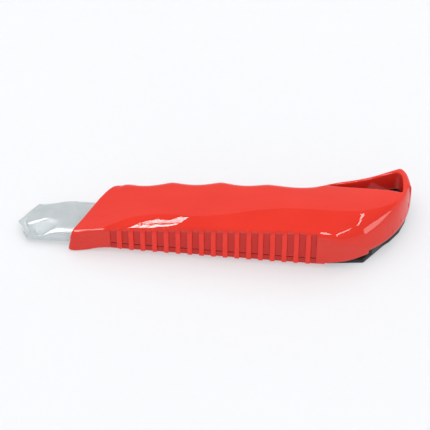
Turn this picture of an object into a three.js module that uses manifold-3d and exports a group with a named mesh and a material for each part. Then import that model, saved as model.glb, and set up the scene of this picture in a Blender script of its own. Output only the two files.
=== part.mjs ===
// Snap-off utility knife with a loading magazine.
//
// A steel channel (the blade guide) lies between two moulded handle halves. The active blade slides
// along the channel's lips, pushed by a carrier and a thumb slider; spare blades wait above it under
// a bowed spring. A pull-off cap closes the tail, and the handle ends in a hanging loop.
//
// Millimetres. X runs from the nose to the tail, Y from the ribbed side to the finger grooves, and Z
// from the slider side up. The knife lies on its slider side. The shapes are drawn with X = 0 at the
// nose, Y = 0 on the blade's centre line and Z = 0 on the table, and the finished group is then
// moved so that its origin is the bottom centre of its bounding box.

import * as THREE from 'three';
import { mergeVertices } from 'three/addons/utils/BufferGeometryUtils.js';
import Module from 'manifold-3d';

const wasm = await Module();
wasm.setup();

// ---------------------------------------------------------------- driving dimensions

// Fits
const FIT_GAP = 0.3;             // between fixed pieces that meet
const BLADE_PLAY = 0.25;         // above and below the sliding blade
const SIDE_PLAY = 0.6;           // beside the blade in the channel
const PIN_PLAY = 0.3;            // around pins, rivets and screw shanks

// Blades
const BLADE_LENGTH = 100;
const BLADE_WIDTH = 18;
const BLADE_THICKNESS = 0.5;
const BLADE_BEVEL = 1.6;         // width of the ground edge
const BLADE_EDGE = 0.08;         // thickness left at the cutting edge
const BLADE_RAKE = 60;           // degrees between the snap lines and the cutting edge
const SNAP_SEGMENTS = 8;
const SNAP_DEPTH = 0.12;
const SNAP_WIDTH = 0.3;
const TANG_HOLE_RADIUS = 2.4;
const TANG_HOLE_INSET = 6;       // from the blade's tail
const TAIL_CROP = 5;             // length of the cropped corner at the tail
const BLADE_TIP_X = 9.5;         // the retracted tip, behind the channel's mouth
const SPARE_COUNT = 2;
const SPARE_SETBACK = 8;         // spare tips stop behind the active blade's tip
const SPRING_SPACE = 1.5;        // height kept for the magazine spring

// Blade guide
const SHEET = 0.5;
const GUIDE_BASE = 2.2;          // height of its lips above the table
const GUIDE_LENGTH = 131;
const GUIDE_SLOT = 12;           // opening between the lips
const FRONT_PIN_BACK = 43;       // from the handle's front to the front guide pin
const REAR_PIN_INSET = 6;        // from the guide's rear end to the rear one
const NOSE_LENGTH = 20;          // stretch where the back plate is pressed down towards the mouth
const NOSE_FLAT = 5;             // flat part of it at the mouth
const NOSE_POINT_Y = -1.9;
const NOSE_FAR_CUT = 7.3;        // length of the slanted cut on the cutting side
const NOSE_NEAR_CUT = 5.2;       // and on the spine side
const NOTCH_PITCH = 5;
const NOTCH_WIDTH = 1.8;
const NOTCH_DEPTH = 1.3;
const BLADE_TRAVEL = 65;

// Handle
const HANDLE_FRONT = 24.4;       // X of its foremost corner
const HANDLE_LENGTH = 142.4;
const HANDLE_HEIGHT = 20.7;      // table to the highest point of the palm swell
const FINGER_ROOM = 9.8;         // from the guide's channel to the finger side
const LOOP_REACH = 17.3;         // the hanging loop stands out this far past the finger side
const WALL = 1.9;
const RECESS_WALL = 0.7;         // wall left behind the grip recess
const RIB_DEPTH = 1.0;
const RIB_COUNT = 17;
const RIB_PITCH = 4.984;
const RIB_WIDTH = 2.2;
const RIB_START = 21.0;          // from the handle's front to the first rib
const RIB_MARGIN = 3.4;          // from the outer ribs' centres to the recess ends
const RECESS_LEAD = 0.5;         // extra room in front of the first rib
const RIB_FOOT = 1.95;           // height of the ribs' lower ends
const GROOVE_COUNT = 3;
const GROOVE_PITCH = 21.1;
const GROOVE_DEPTH = 1.7;
const GROOVE_START = 18.6;       // from the handle's front to the first crest
const PARTING = 4.65;            // height of the joint between the handle halves
const TAIL_STEP_BACK = 16.4;     // from the tail's end to the step in the shell's lower edge
const TAIL_STEP_HEIGHT = 6;

// Front cover
const COVER_BOTTOM = 1.0;
const COVER_FLOOR = 1.8;
const COVER_END_BACK = 34.5;     // from the tail's end to the cover's rear edge
const LIP_LENGTH = 6;            // resting lip behind the slanted front
const TROUGH_WIDTH = 14;
const EDGE_CHAMFER = 0.7;        // along the cover's ribbed side

// Screws
const SCREW_SHARES = [0.165, 0.417, 0.655];
const SCREW_SIDE_INSET = 5.9;    // from the finger side
const SCREW_RADIUS = 1.3;
const SCREW_HEAD_RADIUS = 2.4;
const SCREW_HEAD_HEIGHT = 1.2;
const SCREW_LENGTH = 9;
const BOSS_RADIUS = 3;

// Slider and lock
const PAD_LENGTH = 16;
const PAD_WIDTH = 12;
const PAD_THICKNESS = 1.1;
const PAD_BOTTOM = 0.35;
const PAD_RIDGES = 6;
const CARRIER_OVERHANG = 8;      // of the carrier behind the blade's tail
const PRESS_TRAVEL = 0.6;
const PAWL_LENGTH = 10.5;
const PAWL_THICKNESS = 0.3;
const PAWL_LIFT = 0.12;          // the tooth is drawn lifted this far above the lips
const RIVET_RADIUS = 1.1;

// Tail cap
const CAP_FLOOR = 1.8;
const CAP_WALL = 1.7;
const CAP_STEP = 2.6;            // height of its wide lower tier
const TONGUE_LENGTH = 9;
const TONGUE_WIDTH = 3.2;

// Hanging loop
const LOOP_STRIP = 2.2;
const LOOP_RIM = 3.4;
const HOLE_SETBACK = 0.3;        // its straight side lies this far inside the finger side
const HOLE_LENGTH = 32.5;

// ---------------------------------------------------------------- derived sizes

const guideWidth = BLADE_WIDTH + 2 * (SIDE_PLAY + SHEET);
const layerStep = BLADE_THICKNESS + FIT_GAP;
const lipTop = GUIDE_BASE + SHEET;
const bladeBottom = lipTop + BLADE_PLAY;
const bladeTop = bladeBottom + BLADE_THICKNESS;
const pawlBottom = lipTop + FIT_GAP;
const pawlTop = pawlBottom + PAWL_THICKNESS;
const spareBottom = pawlTop + PRESS_TRAVEL + FIT_GAP;
const stackTop = spareBottom + SPARE_COUNT * layerStep - FIT_GAP;
const guideInnerTop = stackTop + SPRING_SPACE;
const guideTop = guideInnerTop + SHEET;
const mouthTop = bladeTop + BLADE_PLAY + SHEET;
const channelHalf = guideWidth / 2 + FIT_GAP;
const nearSide = -(channelHalf + RECESS_WALL + RIB_DEPTH);
const farSide = channelHalf + FINGER_ROOM;
const holeNearY = farSide - HOLE_SETBACK;
const handleEnd = HANDLE_FRONT + HANDLE_LENGTH;
const bladeTailX = BLADE_TIP_X + BLADE_LENGTH;
const tangX = bladeTailX - TANG_HOLE_INSET;
const coverEnd = handleEnd - COVER_END_BACK;
const tailStepX = handleEnd - TAIL_STEP_BACK;
const screwY = farSide - SCREW_SIDE_INSET;
const screwBottom = COVER_BOTTOM + 0.3;
const screwTop = screwBottom + SCREW_LENGTH;
const guidePinTop = guideTop + 4;
const frontPinX = HANDLE_FRONT + FRONT_PIN_BACK;
const rearPinX = GUIDE_LENGTH - REAR_PIN_INSET;
const guidePinPlaces = [frontPinX, (frontPinX + rearPinX) / 2, rearPinX];
const carrierRear = bladeTailX + CARRIER_OVERHANG;
const carrierBottom = GUIDE_BASE - 0.05;
const carrierHalf = GUIDE_SLOT / 2 - 0.4;
const pinStem = TANG_HOLE_RADIUS - 1.2;
const padFront = carrierRear - PAD_LENGTH;
const padTop = PAD_BOTTOM + PAD_THICKNESS;
const slotStart = padFront - BLADE_TRAVEL - 2 * FIT_GAP;
const pawlStart = carrierRear + 1.6;
const rivetX = pawlStart + 2.8;
const toothX = pawlStart + 6;
const slotEnd = rivetX + 4.2;
const FAR_AWAY = 300;            // reach of cutting blocks

// ---------------------------------------------------------------- solid helpers

function toSolid(geometry) {
  const bare = geometry.index ? geometry.toNonIndexed() : geometry.clone();
  bare.deleteAttribute('normal');
  bare.deleteAttribute('uv');
  const merged = mergeVertices(bare, 1e-4);
  return new wasm.Manifold(new wasm.Mesh({
    numProp: 3,
    vertProperties: new Float32Array(merged.attributes.position.array),
    triVerts: new Uint32Array(merged.index.array),
  }));
}

function toGeometry(solid) {
  const { vertProperties, triVerts } = solid.getMesh();
  const geometry = new THREE.BufferGeometry();
  geometry.setAttribute('position', new THREE.BufferAttribute(new Float32Array(vertProperties), 3));
  geometry.setIndex(new THREE.BufferAttribute(new Uint32Array(triVerts), 1));
  geometry.computeVertexNormals();
  return geometry;
}

function box(x0, x1, y0, y1, z0, z1) {
  const geometry = new THREE.BoxGeometry(x1 - x0, y1 - y0, z1 - z0);
  geometry.translate((x0 + x1) / 2, (y0 + y1) / 2, (z0 + z1) / 2);
  return toSolid(geometry);
}

function extrude(points, depth) {
  const shape = new THREE.Shape(points.map(([a, b]) => new THREE.Vector2(a, b)));
  return new THREE.ExtrudeGeometry(shape, { depth, bevelEnabled: false, steps: 1 });
}

// A prism that stands on an outline in the XY plane.
function uprightPrism(outline, z0, z1) {
  const geometry = extrude(outline, z1 - z0);
  geometry.translate(0, 0, z0);
  return toSolid(geometry);
}

// A prism that runs along Y, with its outline given as X, Z pairs.
function sidePrism(outline, y0, y1) {
  const geometry = extrude(outline, y1 - y0);
  geometry.rotateX(Math.PI / 2);
  geometry.translate(0, y1, 0);
  return toSolid(geometry);
}

// A prism that runs along X, with its outline given as Y, Z pairs.
function lengthPrism(outline, x0, x1) {
  const geometry = extrude(outline, x1 - x0);
  geometry.rotateX(Math.PI / 2);
  geometry.rotateZ(Math.PI / 2);
  geometry.translate(x0, 0, 0);
  return toSolid(geometry);
}

function post(x, y, radius, z0, z1, sides = 20) {
  const geometry = new THREE.CylinderGeometry(radius, radius, z1 - z0, sides);
  geometry.rotateX(Math.PI / 2);
  geometry.translate(x, y, (z0 + z1) / 2);
  return toSolid(geometry);
}

const union = solids => solids.reduce((whole, piece) => whole.add(piece));

// Smooth interpolation through [position, value] pairs, flat beyond the ends.
function curveThrough(pairs) {
  return x => {
    if (x <= pairs[0][0]) return pairs[0][1];
    const next = pairs.findIndex(pair => pair[0] >= x);
    if (next < 0) return pairs[pairs.length - 1][1];
    const at = k => pairs[Math.min(Math.max(k, 0), pairs.length - 1)];
    const slope = k => (at(k + 1)[1] - at(k - 1)[1]) / (at(k + 1)[0] - at(k - 1)[0]);
    const [x0, v0] = at(next - 1);
    const [x1, v1] = at(next);
    const span = x1 - x0;
    const u = (x - x0) / span;
    const rise = u * u * (3 - 2 * u);
    const lead = u * (1 - u) * (1 - u) * span * slope(next - 1);
    const trail = u * u * (u - 1) * span * slope(next);
    return v0 + (v1 - v0) * rise + lead + trail;
  };
}

// ---------------------------------------------------------------- handle form

const handleX = share => HANDLE_FRONT + share * HANDLE_LENGTH;
const handleShare = x => (x - HANDLE_FRONT) / HANDLE_LENGTH;

// Paired points of the handle's plan, from the slanted front to the tail. Each row holds the ribbed
// side's share of the length and its inset, then the finger side's share and its reach outwards, as
// a share of the loop's reach.
const PLAN = [
  [0.000, -0.5, 0.066, -0.655],
  [0.008, -0.6, 0.086, -0.375],
  [0.029, -0.4, 0.113, -0.150],
  [0.060, -0.1, 0.144, -0.035],
  [0.123, 0.0, 0.186, -0.023],
  [0.214, 0.0, 0.249, -0.006],
  [0.354, 0.0, 0.368, 0.023],
  [0.529, 0.0, 0.529, 0.023],
  [0.670, 0.0, 0.656, -0.058],
  [0.754, 0.3, 0.740, 0.100],
  [0.817, 1.8, 0.817, 0.335],
  [0.873, 5.5, 0.880, 0.590],
  [0.925, 11.9, 0.939, 0.890],
  [0.964, 19.5, 0.964, 1.000],
  [0.987, 27.1, 0.982, 0.870],
  [0.997, 33.0, 0.993, 0.610],
  [1.000, 36.9, 0.999, 0.375],
];
const PLAN_STEPS = 4;

const nearCurve = new THREE.SplineCurve(
  PLAN.map(([share, inset]) => new THREE.Vector2(handleX(share), nearSide + inset)));
const farCurve = new THREE.SplineCurve(
  PLAN.map(([, , share, reach]) => new THREE.Vector2(handleX(share), farSide + reach * LOOP_REACH)));

function fingerGroove(x) {
  const turn = (x - HANDLE_FRONT - GROOVE_START) / GROOVE_PITCH;
  if (turn <= 0 || turn >= GROOVE_COUNT) return 0;
  return GROOVE_DEPTH * Math.abs(Math.sin(Math.PI * turn)) ** 1.3;
}

// Heights as shares of the handle's height, along shares of its length.
const nearWallTop = curveThrough([
  [0.000, 0.35], [0.030, 0.46], [0.075, 0.57], [0.145, 0.62], [0.285, 0.71], [0.425, 0.80],
  [0.565, 0.875], [0.705, 0.93], [0.780, 0.80], [0.850, 0.60], [0.920, 0.48], [1.000, 0.46],
]);
const crownTop = curveThrough([
  [0.000, 0.49], [0.075, 0.60], [0.145, 0.69], [0.285, 0.79], [0.425, 0.88], [0.565, 0.95],
  [0.705, 1.00], [0.810, 0.99], [0.880, 0.95], [0.950, 0.87], [1.000, 0.77],
]);
const farTop = curveThrough([
  [0.060, 0.53], [0.130, 0.62], [0.280, 0.735], [0.430, 0.82], [0.570, 0.88], [0.660, 0.895],
  [0.740, 0.885], [0.880, 0.85], [0.950, 0.83], [1.000, 0.77],
]);
const NEAR_ROUND = 9;            // width over which the ribbed side rolls into the back
const FAR_ROUND = 4.5;           // radius along the finger side
const ROUND_STEPS = 5;
const NEAR_ROUND_POWER = 1.5;

// One cross-section of the handle, as points from the ribbed side's foot over the back to the other
// foot, drawn in by the given amounts.
function handleSection(t, nearInset, wall, foot) {
  const near = nearCurve.getPoint(t);
  const far = farCurve.getPoint(t);
  far.y -= fingerGroove(far.x);
  const across = far.clone().sub(near);
  const fullWidth = across.length();
  across.normalize();
  const width = Math.max(fullWidth - nearInset - wall, 0.4);
  const start = near.clone().addScaledVector(across, Math.min(nearInset, fullWidth / 2));
  const wallTop = Math.max(nearWallTop(handleShare(near.x)) * HANDLE_HEIGHT - wall, foot + 0.5);
  const crown = Math.max(crownTop(handleShare(near.x)) * HANDLE_HEIGHT - wall, wallTop + 0.2);
  const farEdge = farTop(handleShare(far.x)) * HANDLE_HEIGHT - wall;
  const nearRun = Math.min(NEAR_ROUND, width * 0.45);
  const farRun = Math.min(FAR_ROUND, width * 0.3);
  const profile = [[0, foot], [0, wallTop]];
  for (let k = 1; k <= ROUND_STEPS; k += 1) {
    const u = 1 - Math.cos(k / ROUND_STEPS * Math.PI / 2);
    const rise = (1 - (1 - u) ** NEAR_ROUND_POWER) ** (1 / NEAR_ROUND_POWER);
    profile.push([u * nearRun, wallTop + (crown - wallTop) * rise]);
  }
  for (let k = 0; k <= ROUND_STEPS; k += 1) {
    const angle = k / ROUND_STEPS * Math.PI / 2;
    profile.push([width - farRun * (1 - Math.sin(angle)), farEdge - farRun * (1 - Math.cos(angle))]);
  }
  profile.push([width, foot]);
  return profile.map(([s, z]) => {
    const p = start.clone().addScaledVector(across, s);
    return [p.x, p.y, z];
  });
}

// The closed body through all cross-sections.
function handleBody(nearInset, wall, foot) {
  const rings = [];
  const last = (PLAN.length - 1) * PLAN_STEPS;
  for (let i = 0; i <= last; i += 1) {
    rings.push(handleSection(i / last, nearInset, wall, foot));
  }
  const size = rings[0].length;
  const positions = rings.flat(2);
  const index = [];
  for (let i = 0; i < last; i += 1) {
    for (let j = 0; j < size; j += 1) {
      const a = i * size + j;
      const b = i * size + (j + 1) % size;
      index.push(a, a + size, b, b, a + size, b + size);
    }
  }
  const addCap = (ring, flip) => {
    const [x0, y0] = rings[ring][0];
    const outline = rings[ring].map(([x, y, z]) => new THREE.Vector2(Math.hypot(x - x0, y - y0), z));
    const forwards = THREE.ShapeUtils.area(outline) > 0;
    for (const [a, b, c] of THREE.ShapeUtils.triangulateShape(outline, [])) {
      const turn = THREE.ShapeUtils.area([outline[a], outline[b], outline[c]]) > 0;
      const face = (turn === forwards) !== flip ? [a, b, c] : [a, c, b];
      index.push(...face.map(corner => ring * size + corner));
    }
  };
  addCap(0, false);
  addCap(last, true);
  const geometry = new THREE.BufferGeometry();
  geometry.setAttribute('position', new THREE.Float32BufferAttribute(positions, 3));
  geometry.setIndex(index);
  const solid = toSolid(geometry);
  if (solid.volume() > 0) return solid;
  index.reverse();
  geometry.setIndex(index);
  return toSolid(geometry);
}

const BELOW = -6;                // foot of the uncut handle bodies, under the table
const handleOuter = handleBody(0, 0, BELOW);
const handleInner = handleBody(RECESS_WALL + RIB_DEPTH, WALL, BELOW - 2);

// The slanted front, as a point on it and the direction across the handle.
const frontNear = nearCurve.getPoint(0);
const frontAlong = farCurve.getPoint(0).sub(frontNear).normalize();
const frontInward = new THREE.Vector2(frontAlong.y, -frontAlong.x);

function frontPoint(inward, along) {
  const p = frontNear.clone().addScaledVector(frontInward, inward).addScaledVector(frontAlong, along);
  return [p.x, p.y];
}

function nearY(x) {
  let low = 0;
  let high = 1;
  for (let k = 0; k < 40; k += 1) {
    const middle = (low + high) / 2;
    if (nearCurve.getPoint(middle).x < x) low = middle;
    else high = middle;
  }
  return nearCurve.getPoint(low).y;
}

// The point that lies a given inset inside the plan's ribbed side and tail.
function insideNear(t, inset) {
  const p = nearCurve.getPoint(t);
  const along = nearCurve.getTangent(t);
  return [p.x - along.y * inset, p.y + along.x * inset];
}

// Outline of the hanging hole: straight along the handle, then inside the loop's strip.
function hangingHole() {
  const end = handleEnd - LOOP_RIM - 0.5;
  const start = end - HOLE_LENGTH;
  const outline = [[start, holeNearY], [end, holeNearY + 0.6], [end + 0.2, holeNearY + 4.6]];
  const bend = farSide + LOOP_REACH - LOOP_RIM;
  outline.push([end - 0.4, bend - 2.2]);
  outline.push([end - 1.5, bend - 0.4]);
  outline.push([end - 3.4, bend - 0.3]);
  const stations = [0.910, 0.875, 0.835, 0.795, 0.760];
  for (const share of stations) {
    const x = handleX(share);
    const y = farLineY(x) - LOOP_STRIP;
    if (x > start + 1 && y > holeNearY + 0.4) outline.push([x, y]);
  }
  return outline;
}

function farLineY(x) {
  let low = 0;
  let high = 13 / 16;
  for (let k = 0; k < 40; k += 1) {
    const middle = (low + high) / 2;
    if (farCurve.getPoint(middle).x < x) low = middle;
    else high = middle;
  }
  return farCurve.getPoint(low).y - fingerGroove(x);
}

const holeOutline = hangingHole();
const cavityFarY = holeNearY - WALL;
const screwPlaces = SCREW_SHARES.map(share => handleX(share));

// ---------------------------------------------------------------- handle pieces

// Grip recess along the ribbed side, with the ribs left standing.
function gripRecess() {
  const first = HANDLE_FRONT + RIB_START;
  const start = first - RIB_MARGIN - RECESS_LEAD;
  const end = first + (RIB_COUNT - 1) * RIB_PITCH + RIB_MARGIN;
  const outline = [[start, BELOW - 2], [end, BELOW - 2]];
  const steps = 8;
  for (let k = steps; k >= 0; k -= 1) {
    const x = start + (end - start) * k / steps;
    outline.push([x, nearWallTop(handleShare(x)) * HANDLE_HEIGHT]);
  }
  let recess = sidePrism(outline, nearSide - 3, nearSide + RIB_DEPTH);
  for (let k = 0; k < RIB_COUNT; k += 1) {
    const x = first + k * RIB_PITCH;
    recess = recess.subtract(
      box(x - RIB_WIDTH / 2, x + RIB_WIDTH / 2, nearSide - 4, nearSide + 3, BELOW - 4, FAR_AWAY));
  }
  return recess;
}

// Everything under the shell's lower edge, seen from the side.
function shellUnderside() {
  const edge = curveThrough([
    [0.000, 0.0], [0.030, 0.0], [0.060, 0.4], [0.100, 1.3], [0.140, 1.85], [0.165, RIB_FOOT],
    [0.705, RIB_FOOT], [0.775, 3.0], [0.830, 3.6], [0.885, 4.3],
  ]);
  const outline = [[-FAR_AWAY, 2 * BELOW], [-FAR_AWAY, 0]];
  for (const share of [0.03, 0.045, 0.06, 0.08, 0.1, 0.12, 0.14, 0.165, 0.705, 0.74, 0.775, 0.83]) {
    outline.push([handleX(share), edge(share)]);
  }
  outline.push([tailStepX, edge(handleShare(tailStepX))]);
  outline.push([tailStepX, TAIL_STEP_HEIGHT], [FAR_AWAY, TAIL_STEP_HEIGHT], [FAR_AWAY, 2 * BELOW]);
  return sidePrism(outline, -FAR_AWAY, FAR_AWAY);
}

// The room for the cover and the tail cap inside the shell's thin skirt, drawn in by a clearance.
function coverRoom(clearance) {
  const skirt = RIB_DEPTH - FIT_GAP + clearance;
  const outline = [[-FAR_AWAY, nearY(HANDLE_FRONT) + skirt]];
  const steps = 24;
  for (let k = 0; k <= steps; k += 1) {
    const x = HANDLE_FRONT + (tailStepX - HANDLE_FRONT) * k / steps;
    outline.push([x, nearY(x) + skirt]);
  }
  outline.push([FAR_AWAY, outline[outline.length - 1][1]], [FAR_AWAY, FAR_AWAY], [-FAR_AWAY, FAR_AWAY]);
  const tailRoom = uprightPrism(outline, 2 * BELOW, TAIL_STEP_HEIGHT)
    .intersect(box(coverEnd, FAR_AWAY, -FAR_AWAY, FAR_AWAY, 2 * BELOW, FAR_AWAY));
  return uprightPrism(outline, 2 * BELOW, PARTING + FIT_GAP / 2).add(tailRoom);
}

function backShell() {
  const cavityPlan = uprightPrism([
    frontPoint(WALL, -2), frontPoint(WALL, 30), [frontPoint(WALL, 30)[0], 2 * farSide],
    [handleX(0.70), 2 * farSide], [handleX(0.73), cavityFarY], [FAR_AWAY, cavityFarY],
    [FAR_AWAY, -2 * farSide], [HANDLE_FRONT, -2 * farSide],
  ], 2 * BELOW, FAR_AWAY);
  const cavity = handleInner.intersect(cavityPlan);
  const bosses = screwPlaces.map(x => post(x, screwY, BOSS_RADIUS, BELOW, FAR_AWAY));
  const webs = [0.11, 0.29, 0.50, 0.71].map(share => {
    const x = handleX(share);
    return box(x, x + 1.2, nearSide + 1.2, farSide, guideTop + FIT_GAP, FAR_AWAY);
  });
  const pegs = guidePinPlaces.map(x => post(x, 0, BOSS_RADIUS, guideTop + FIT_GAP, FAR_AWAY));
  const inside = union([...bosses, ...webs, ...pegs]).intersect(handleOuter);
  let shell = handleOuter.subtract(cavity).add(inside);
  shell = shell.subtract(uprightPrism(holeOutline, 2 * BELOW, FAR_AWAY));
  shell = shell.subtract(gripRecess());
  shell = shell.subtract(coverRoom(0));
  shell = shell.subtract(shellUnderside());
  shell = shell.subtract(
    box(-FAR_AWAY, GUIDE_LENGTH + FIT_GAP, -channelHalf, channelHalf, 2 * BELOW, guideTop + FIT_GAP));
  for (const x of screwPlaces) {
    shell = shell.subtract(post(x, screwY, SCREW_RADIUS + PIN_PLAY, BELOW, screwTop + FIT_GAP));
  }
  for (const x of guidePinPlaces) {
    shell = shell.subtract(post(x, 0, RIVET_RADIUS + PIN_PLAY, BELOW, guidePinTop + FIT_GAP));
  }
  return shell;
}

function frontCover() {
  const nearEdge = -(channelHalf + RECESS_WALL);
  const plan = uprightPrism([
    [-FAR_AWAY, nearEdge], [coverEnd, nearEdge], [coverEnd, FAR_AWAY], [-FAR_AWAY, FAR_AWAY],
  ], COVER_BOTTOM, PARTING - FIT_GAP / 2);
  const lip = uprightPrism([
    frontPoint(-10, -10), frontPoint(LIP_LENGTH, -10), frontPoint(LIP_LENGTH, 60), frontPoint(-10, 60),
  ], 0, COVER_BOTTOM + 0.2).intersect(box(-FAR_AWAY, FAR_AWAY, nearEdge, FAR_AWAY, BELOW, FAR_AWAY));
  let cover = handleOuter.intersect(plan.add(lip)).intersect(coverRoom(FIT_GAP));
  const floorTop = COVER_BOTTOM + COVER_FLOOR;
  const pocketSide = channelHalf + 1.7;
  const pocket = handleInner.intersect(box(
    frontPoint(WALL, 40)[0], FAR_AWAY, pocketSide, cavityFarY, floorTop, FAR_AWAY));
  const pads = union(screwPlaces.map(x => post(x, screwY, BOSS_RADIUS, BELOW, FAR_AWAY)));
  cover = cover.subtract(pocket.subtract(pads));
  cover = cover.subtract(
    box(-FAR_AWAY, FAR_AWAY, -channelHalf, channelHalf, GUIDE_BASE - FIT_GAP, FAR_AWAY));
  cover = cover.subtract(
    box(slotStart, slotEnd, -TROUGH_WIDTH / 2, TROUGH_WIDTH / 2, BELOW, FAR_AWAY));
  cover = cover.subtract(lengthPrism([
    [nearEdge - 1, COVER_BOTTOM - 1], [nearEdge + EDGE_CHAMFER + 1, COVER_BOTTOM - 1],
    [nearEdge - 1, COVER_BOTTOM + EDGE_CHAMFER + 1],
  ], handleX(0.06), FAR_AWAY));
  for (const x of screwPlaces) {
    cover = cover.subtract(post(x, screwY, SCREW_RADIUS + PIN_PLAY, BELOW, FAR_AWAY));
    cover = cover.subtract(
      post(x, screwY, SCREW_HEAD_RADIUS + PIN_PLAY, BELOW, screwBottom + SCREW_HEAD_HEIGHT + FIT_GAP));
  }
  return cover;
}

function coverScrew(x) {
  const slot = box(x - 0.35, x + 0.35, screwY - 3, screwY + 3, BELOW, screwBottom + 0.5);
  const cross = box(x - 3, x + 3, screwY - 0.35, screwY + 0.35, BELOW, screwBottom + 0.5);
  const reach = box(x - 1.6, x + 1.6, screwY - 1.6, screwY + 1.6, BELOW, screwTop);
  const head = post(x, screwY, SCREW_HEAD_RADIUS, screwBottom, screwBottom + SCREW_HEAD_HEIGHT);
  const shank = post(x, screwY, SCREW_RADIUS, screwBottom, screwTop, 16);
  return head.add(shank).subtract(slot.add(cross).intersect(reach));
}


function guidePin(x) {
  return post(x, 0, RIVET_RADIUS, guideInnerTop + 0.1, guidePinTop, 16);
}

// ---------------------------------------------------------------- tail cap

function tailCap() {
  const start = coverEnd + FIT_GAP + 0.3;
  const top = TAIL_STEP_HEIGHT - FIT_GAP;
  const farEdge = [];
  for (const share of [0.990, 0.979, 0.962, 0.939, 0.900, 0.860, 0.820, 0.790]) {
    const x = handleX(share) - 0.6;
    if (x > start + 1) farEdge.push([x, farLineOrLoop(share) - 0.6]);
  }
  const tail = [
    insideNear(0.773, 2.4), insideNear(0.797, 1.9), insideNear(0.850, 1.2), insideNear(0.970, 0.9),
    ...farEdge, [start, farLineY(start) - 0.6],
  ];
  const lowCorner = tailStepX - 1.9;
  const lower = uprightPrism(
    [[start, nearSide + 2.9], [lowCorner, nearY(lowCorner) - 0.3], ...tail], 0, CAP_STEP);
  const upperNear = nearY(tailStepX) + RIB_DEPTH;
  const upperPlan = [[start, upperNear], [tailStepX + 1.2, upperNear], ...tail];
  const upper = uprightPrism(upperPlan, CAP_STEP - 0.3, top);
  const pocket = uprightPrism([
    [start + CAP_WALL, upperNear + CAP_WALL], [tailStepX - 0.6, upperNear + CAP_WALL],
    insideNear(0.773, 2.4 + CAP_WALL), insideNear(0.835, 1.5 + CAP_WALL),
    [insideNear(0.835, 1.5 + CAP_WALL)[0], holeNearY - CAP_WALL], [start + CAP_WALL, holeNearY - CAP_WALL],
  ], CAP_FLOOR, FAR_AWAY);
  const tongueY = screwY - TONGUE_WIDTH / 2;
  const tongueBottom = COVER_BOTTOM + COVER_FLOOR + FIT_GAP;
  const tongue = box(
    start - TONGUE_LENGTH, start + 1, tongueY, tongueY + TONGUE_WIDTH, tongueBottom, tongueBottom + 1.2);
  let cap = lower.add(upper).subtract(pocket).add(tongue);
  cap = cap.subtract(uprightPrism(holeOutline, 2 * BELOW, FAR_AWAY));
  for (let k = 0; k < 5; k += 1) {
    const x = start + 5 + 2.2 * k;
    cap = cap.subtract(box(x, x + 1, -2, 12, BELOW, 0.4));
  }
  return cap;
}

function farLineOrLoop(share) {
  const x = handleX(share);
  if (share <= 0.962) return farLineY(x);
  let low = 13 / 16;
  let high = 1;
  for (let k = 0; k < 40; k += 1) {
    const middle = (low + high) / 2;
    if (farCurve.getPoint(middle).x < x) low = middle;
    else high = middle;
  }
  return farCurve.getPoint(low).y;
}

// ---------------------------------------------------------------- blade guide and blades

function bladeGuide() {
  const half = guideWidth / 2;
  const rear = GUIDE_LENGTH;
  const plan = uprightPrism([
    [0, NOSE_POINT_Y], [NOSE_NEAR_CUT, -half], [rear, -half], [rear, half], [NOSE_FAR_CUT, half],
  ], BELOW, FAR_AWAY);
  const early = 1;
  const outer = sidePrism([
    [-early, GUIDE_BASE], [rear + early, GUIDE_BASE], [rear + early, guideTop],
    [NOSE_LENGTH, guideTop], [NOSE_FLAT, mouthTop], [-early, mouthTop],
  ], -half, half);
  const inner = sidePrism([
    [-2 * early, lipTop], [rear + 2 * early, lipTop], [rear + 2 * early, guideInnerTop],
    [NOSE_LENGTH, guideInnerTop], [NOSE_FLAT, mouthTop - SHEET], [-2 * early, mouthTop - SHEET],
  ], -half + SHEET, half - SHEET);
  let guide = outer.subtract(inner).intersect(plan);
  guide = guide.subtract(box(-5, FAR_AWAY, -GUIDE_SLOT / 2, GUIDE_SLOT / 2, BELOW, lipTop + 0.1));
  const steps = Math.round(BLADE_TRAVEL / NOTCH_PITCH);
  for (let k = 0; k <= steps; k += 1) {
    const x = toothX - k * NOTCH_PITCH;
    const edge = GUIDE_SLOT / 2;
    guide = guide.subtract(box(
      x - NOTCH_WIDTH / 2, x + NOTCH_WIDTH / 2, edge - 1, edge + NOTCH_DEPTH, BELOW, lipTop + 0.1));
  }
  for (const x of guidePinPlaces) {
    guide = guide.subtract(post(x, 0, RIVET_RADIUS + PIN_PLAY, stackTop, FAR_AWAY, 16));
  }
  return guide;
}

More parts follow.
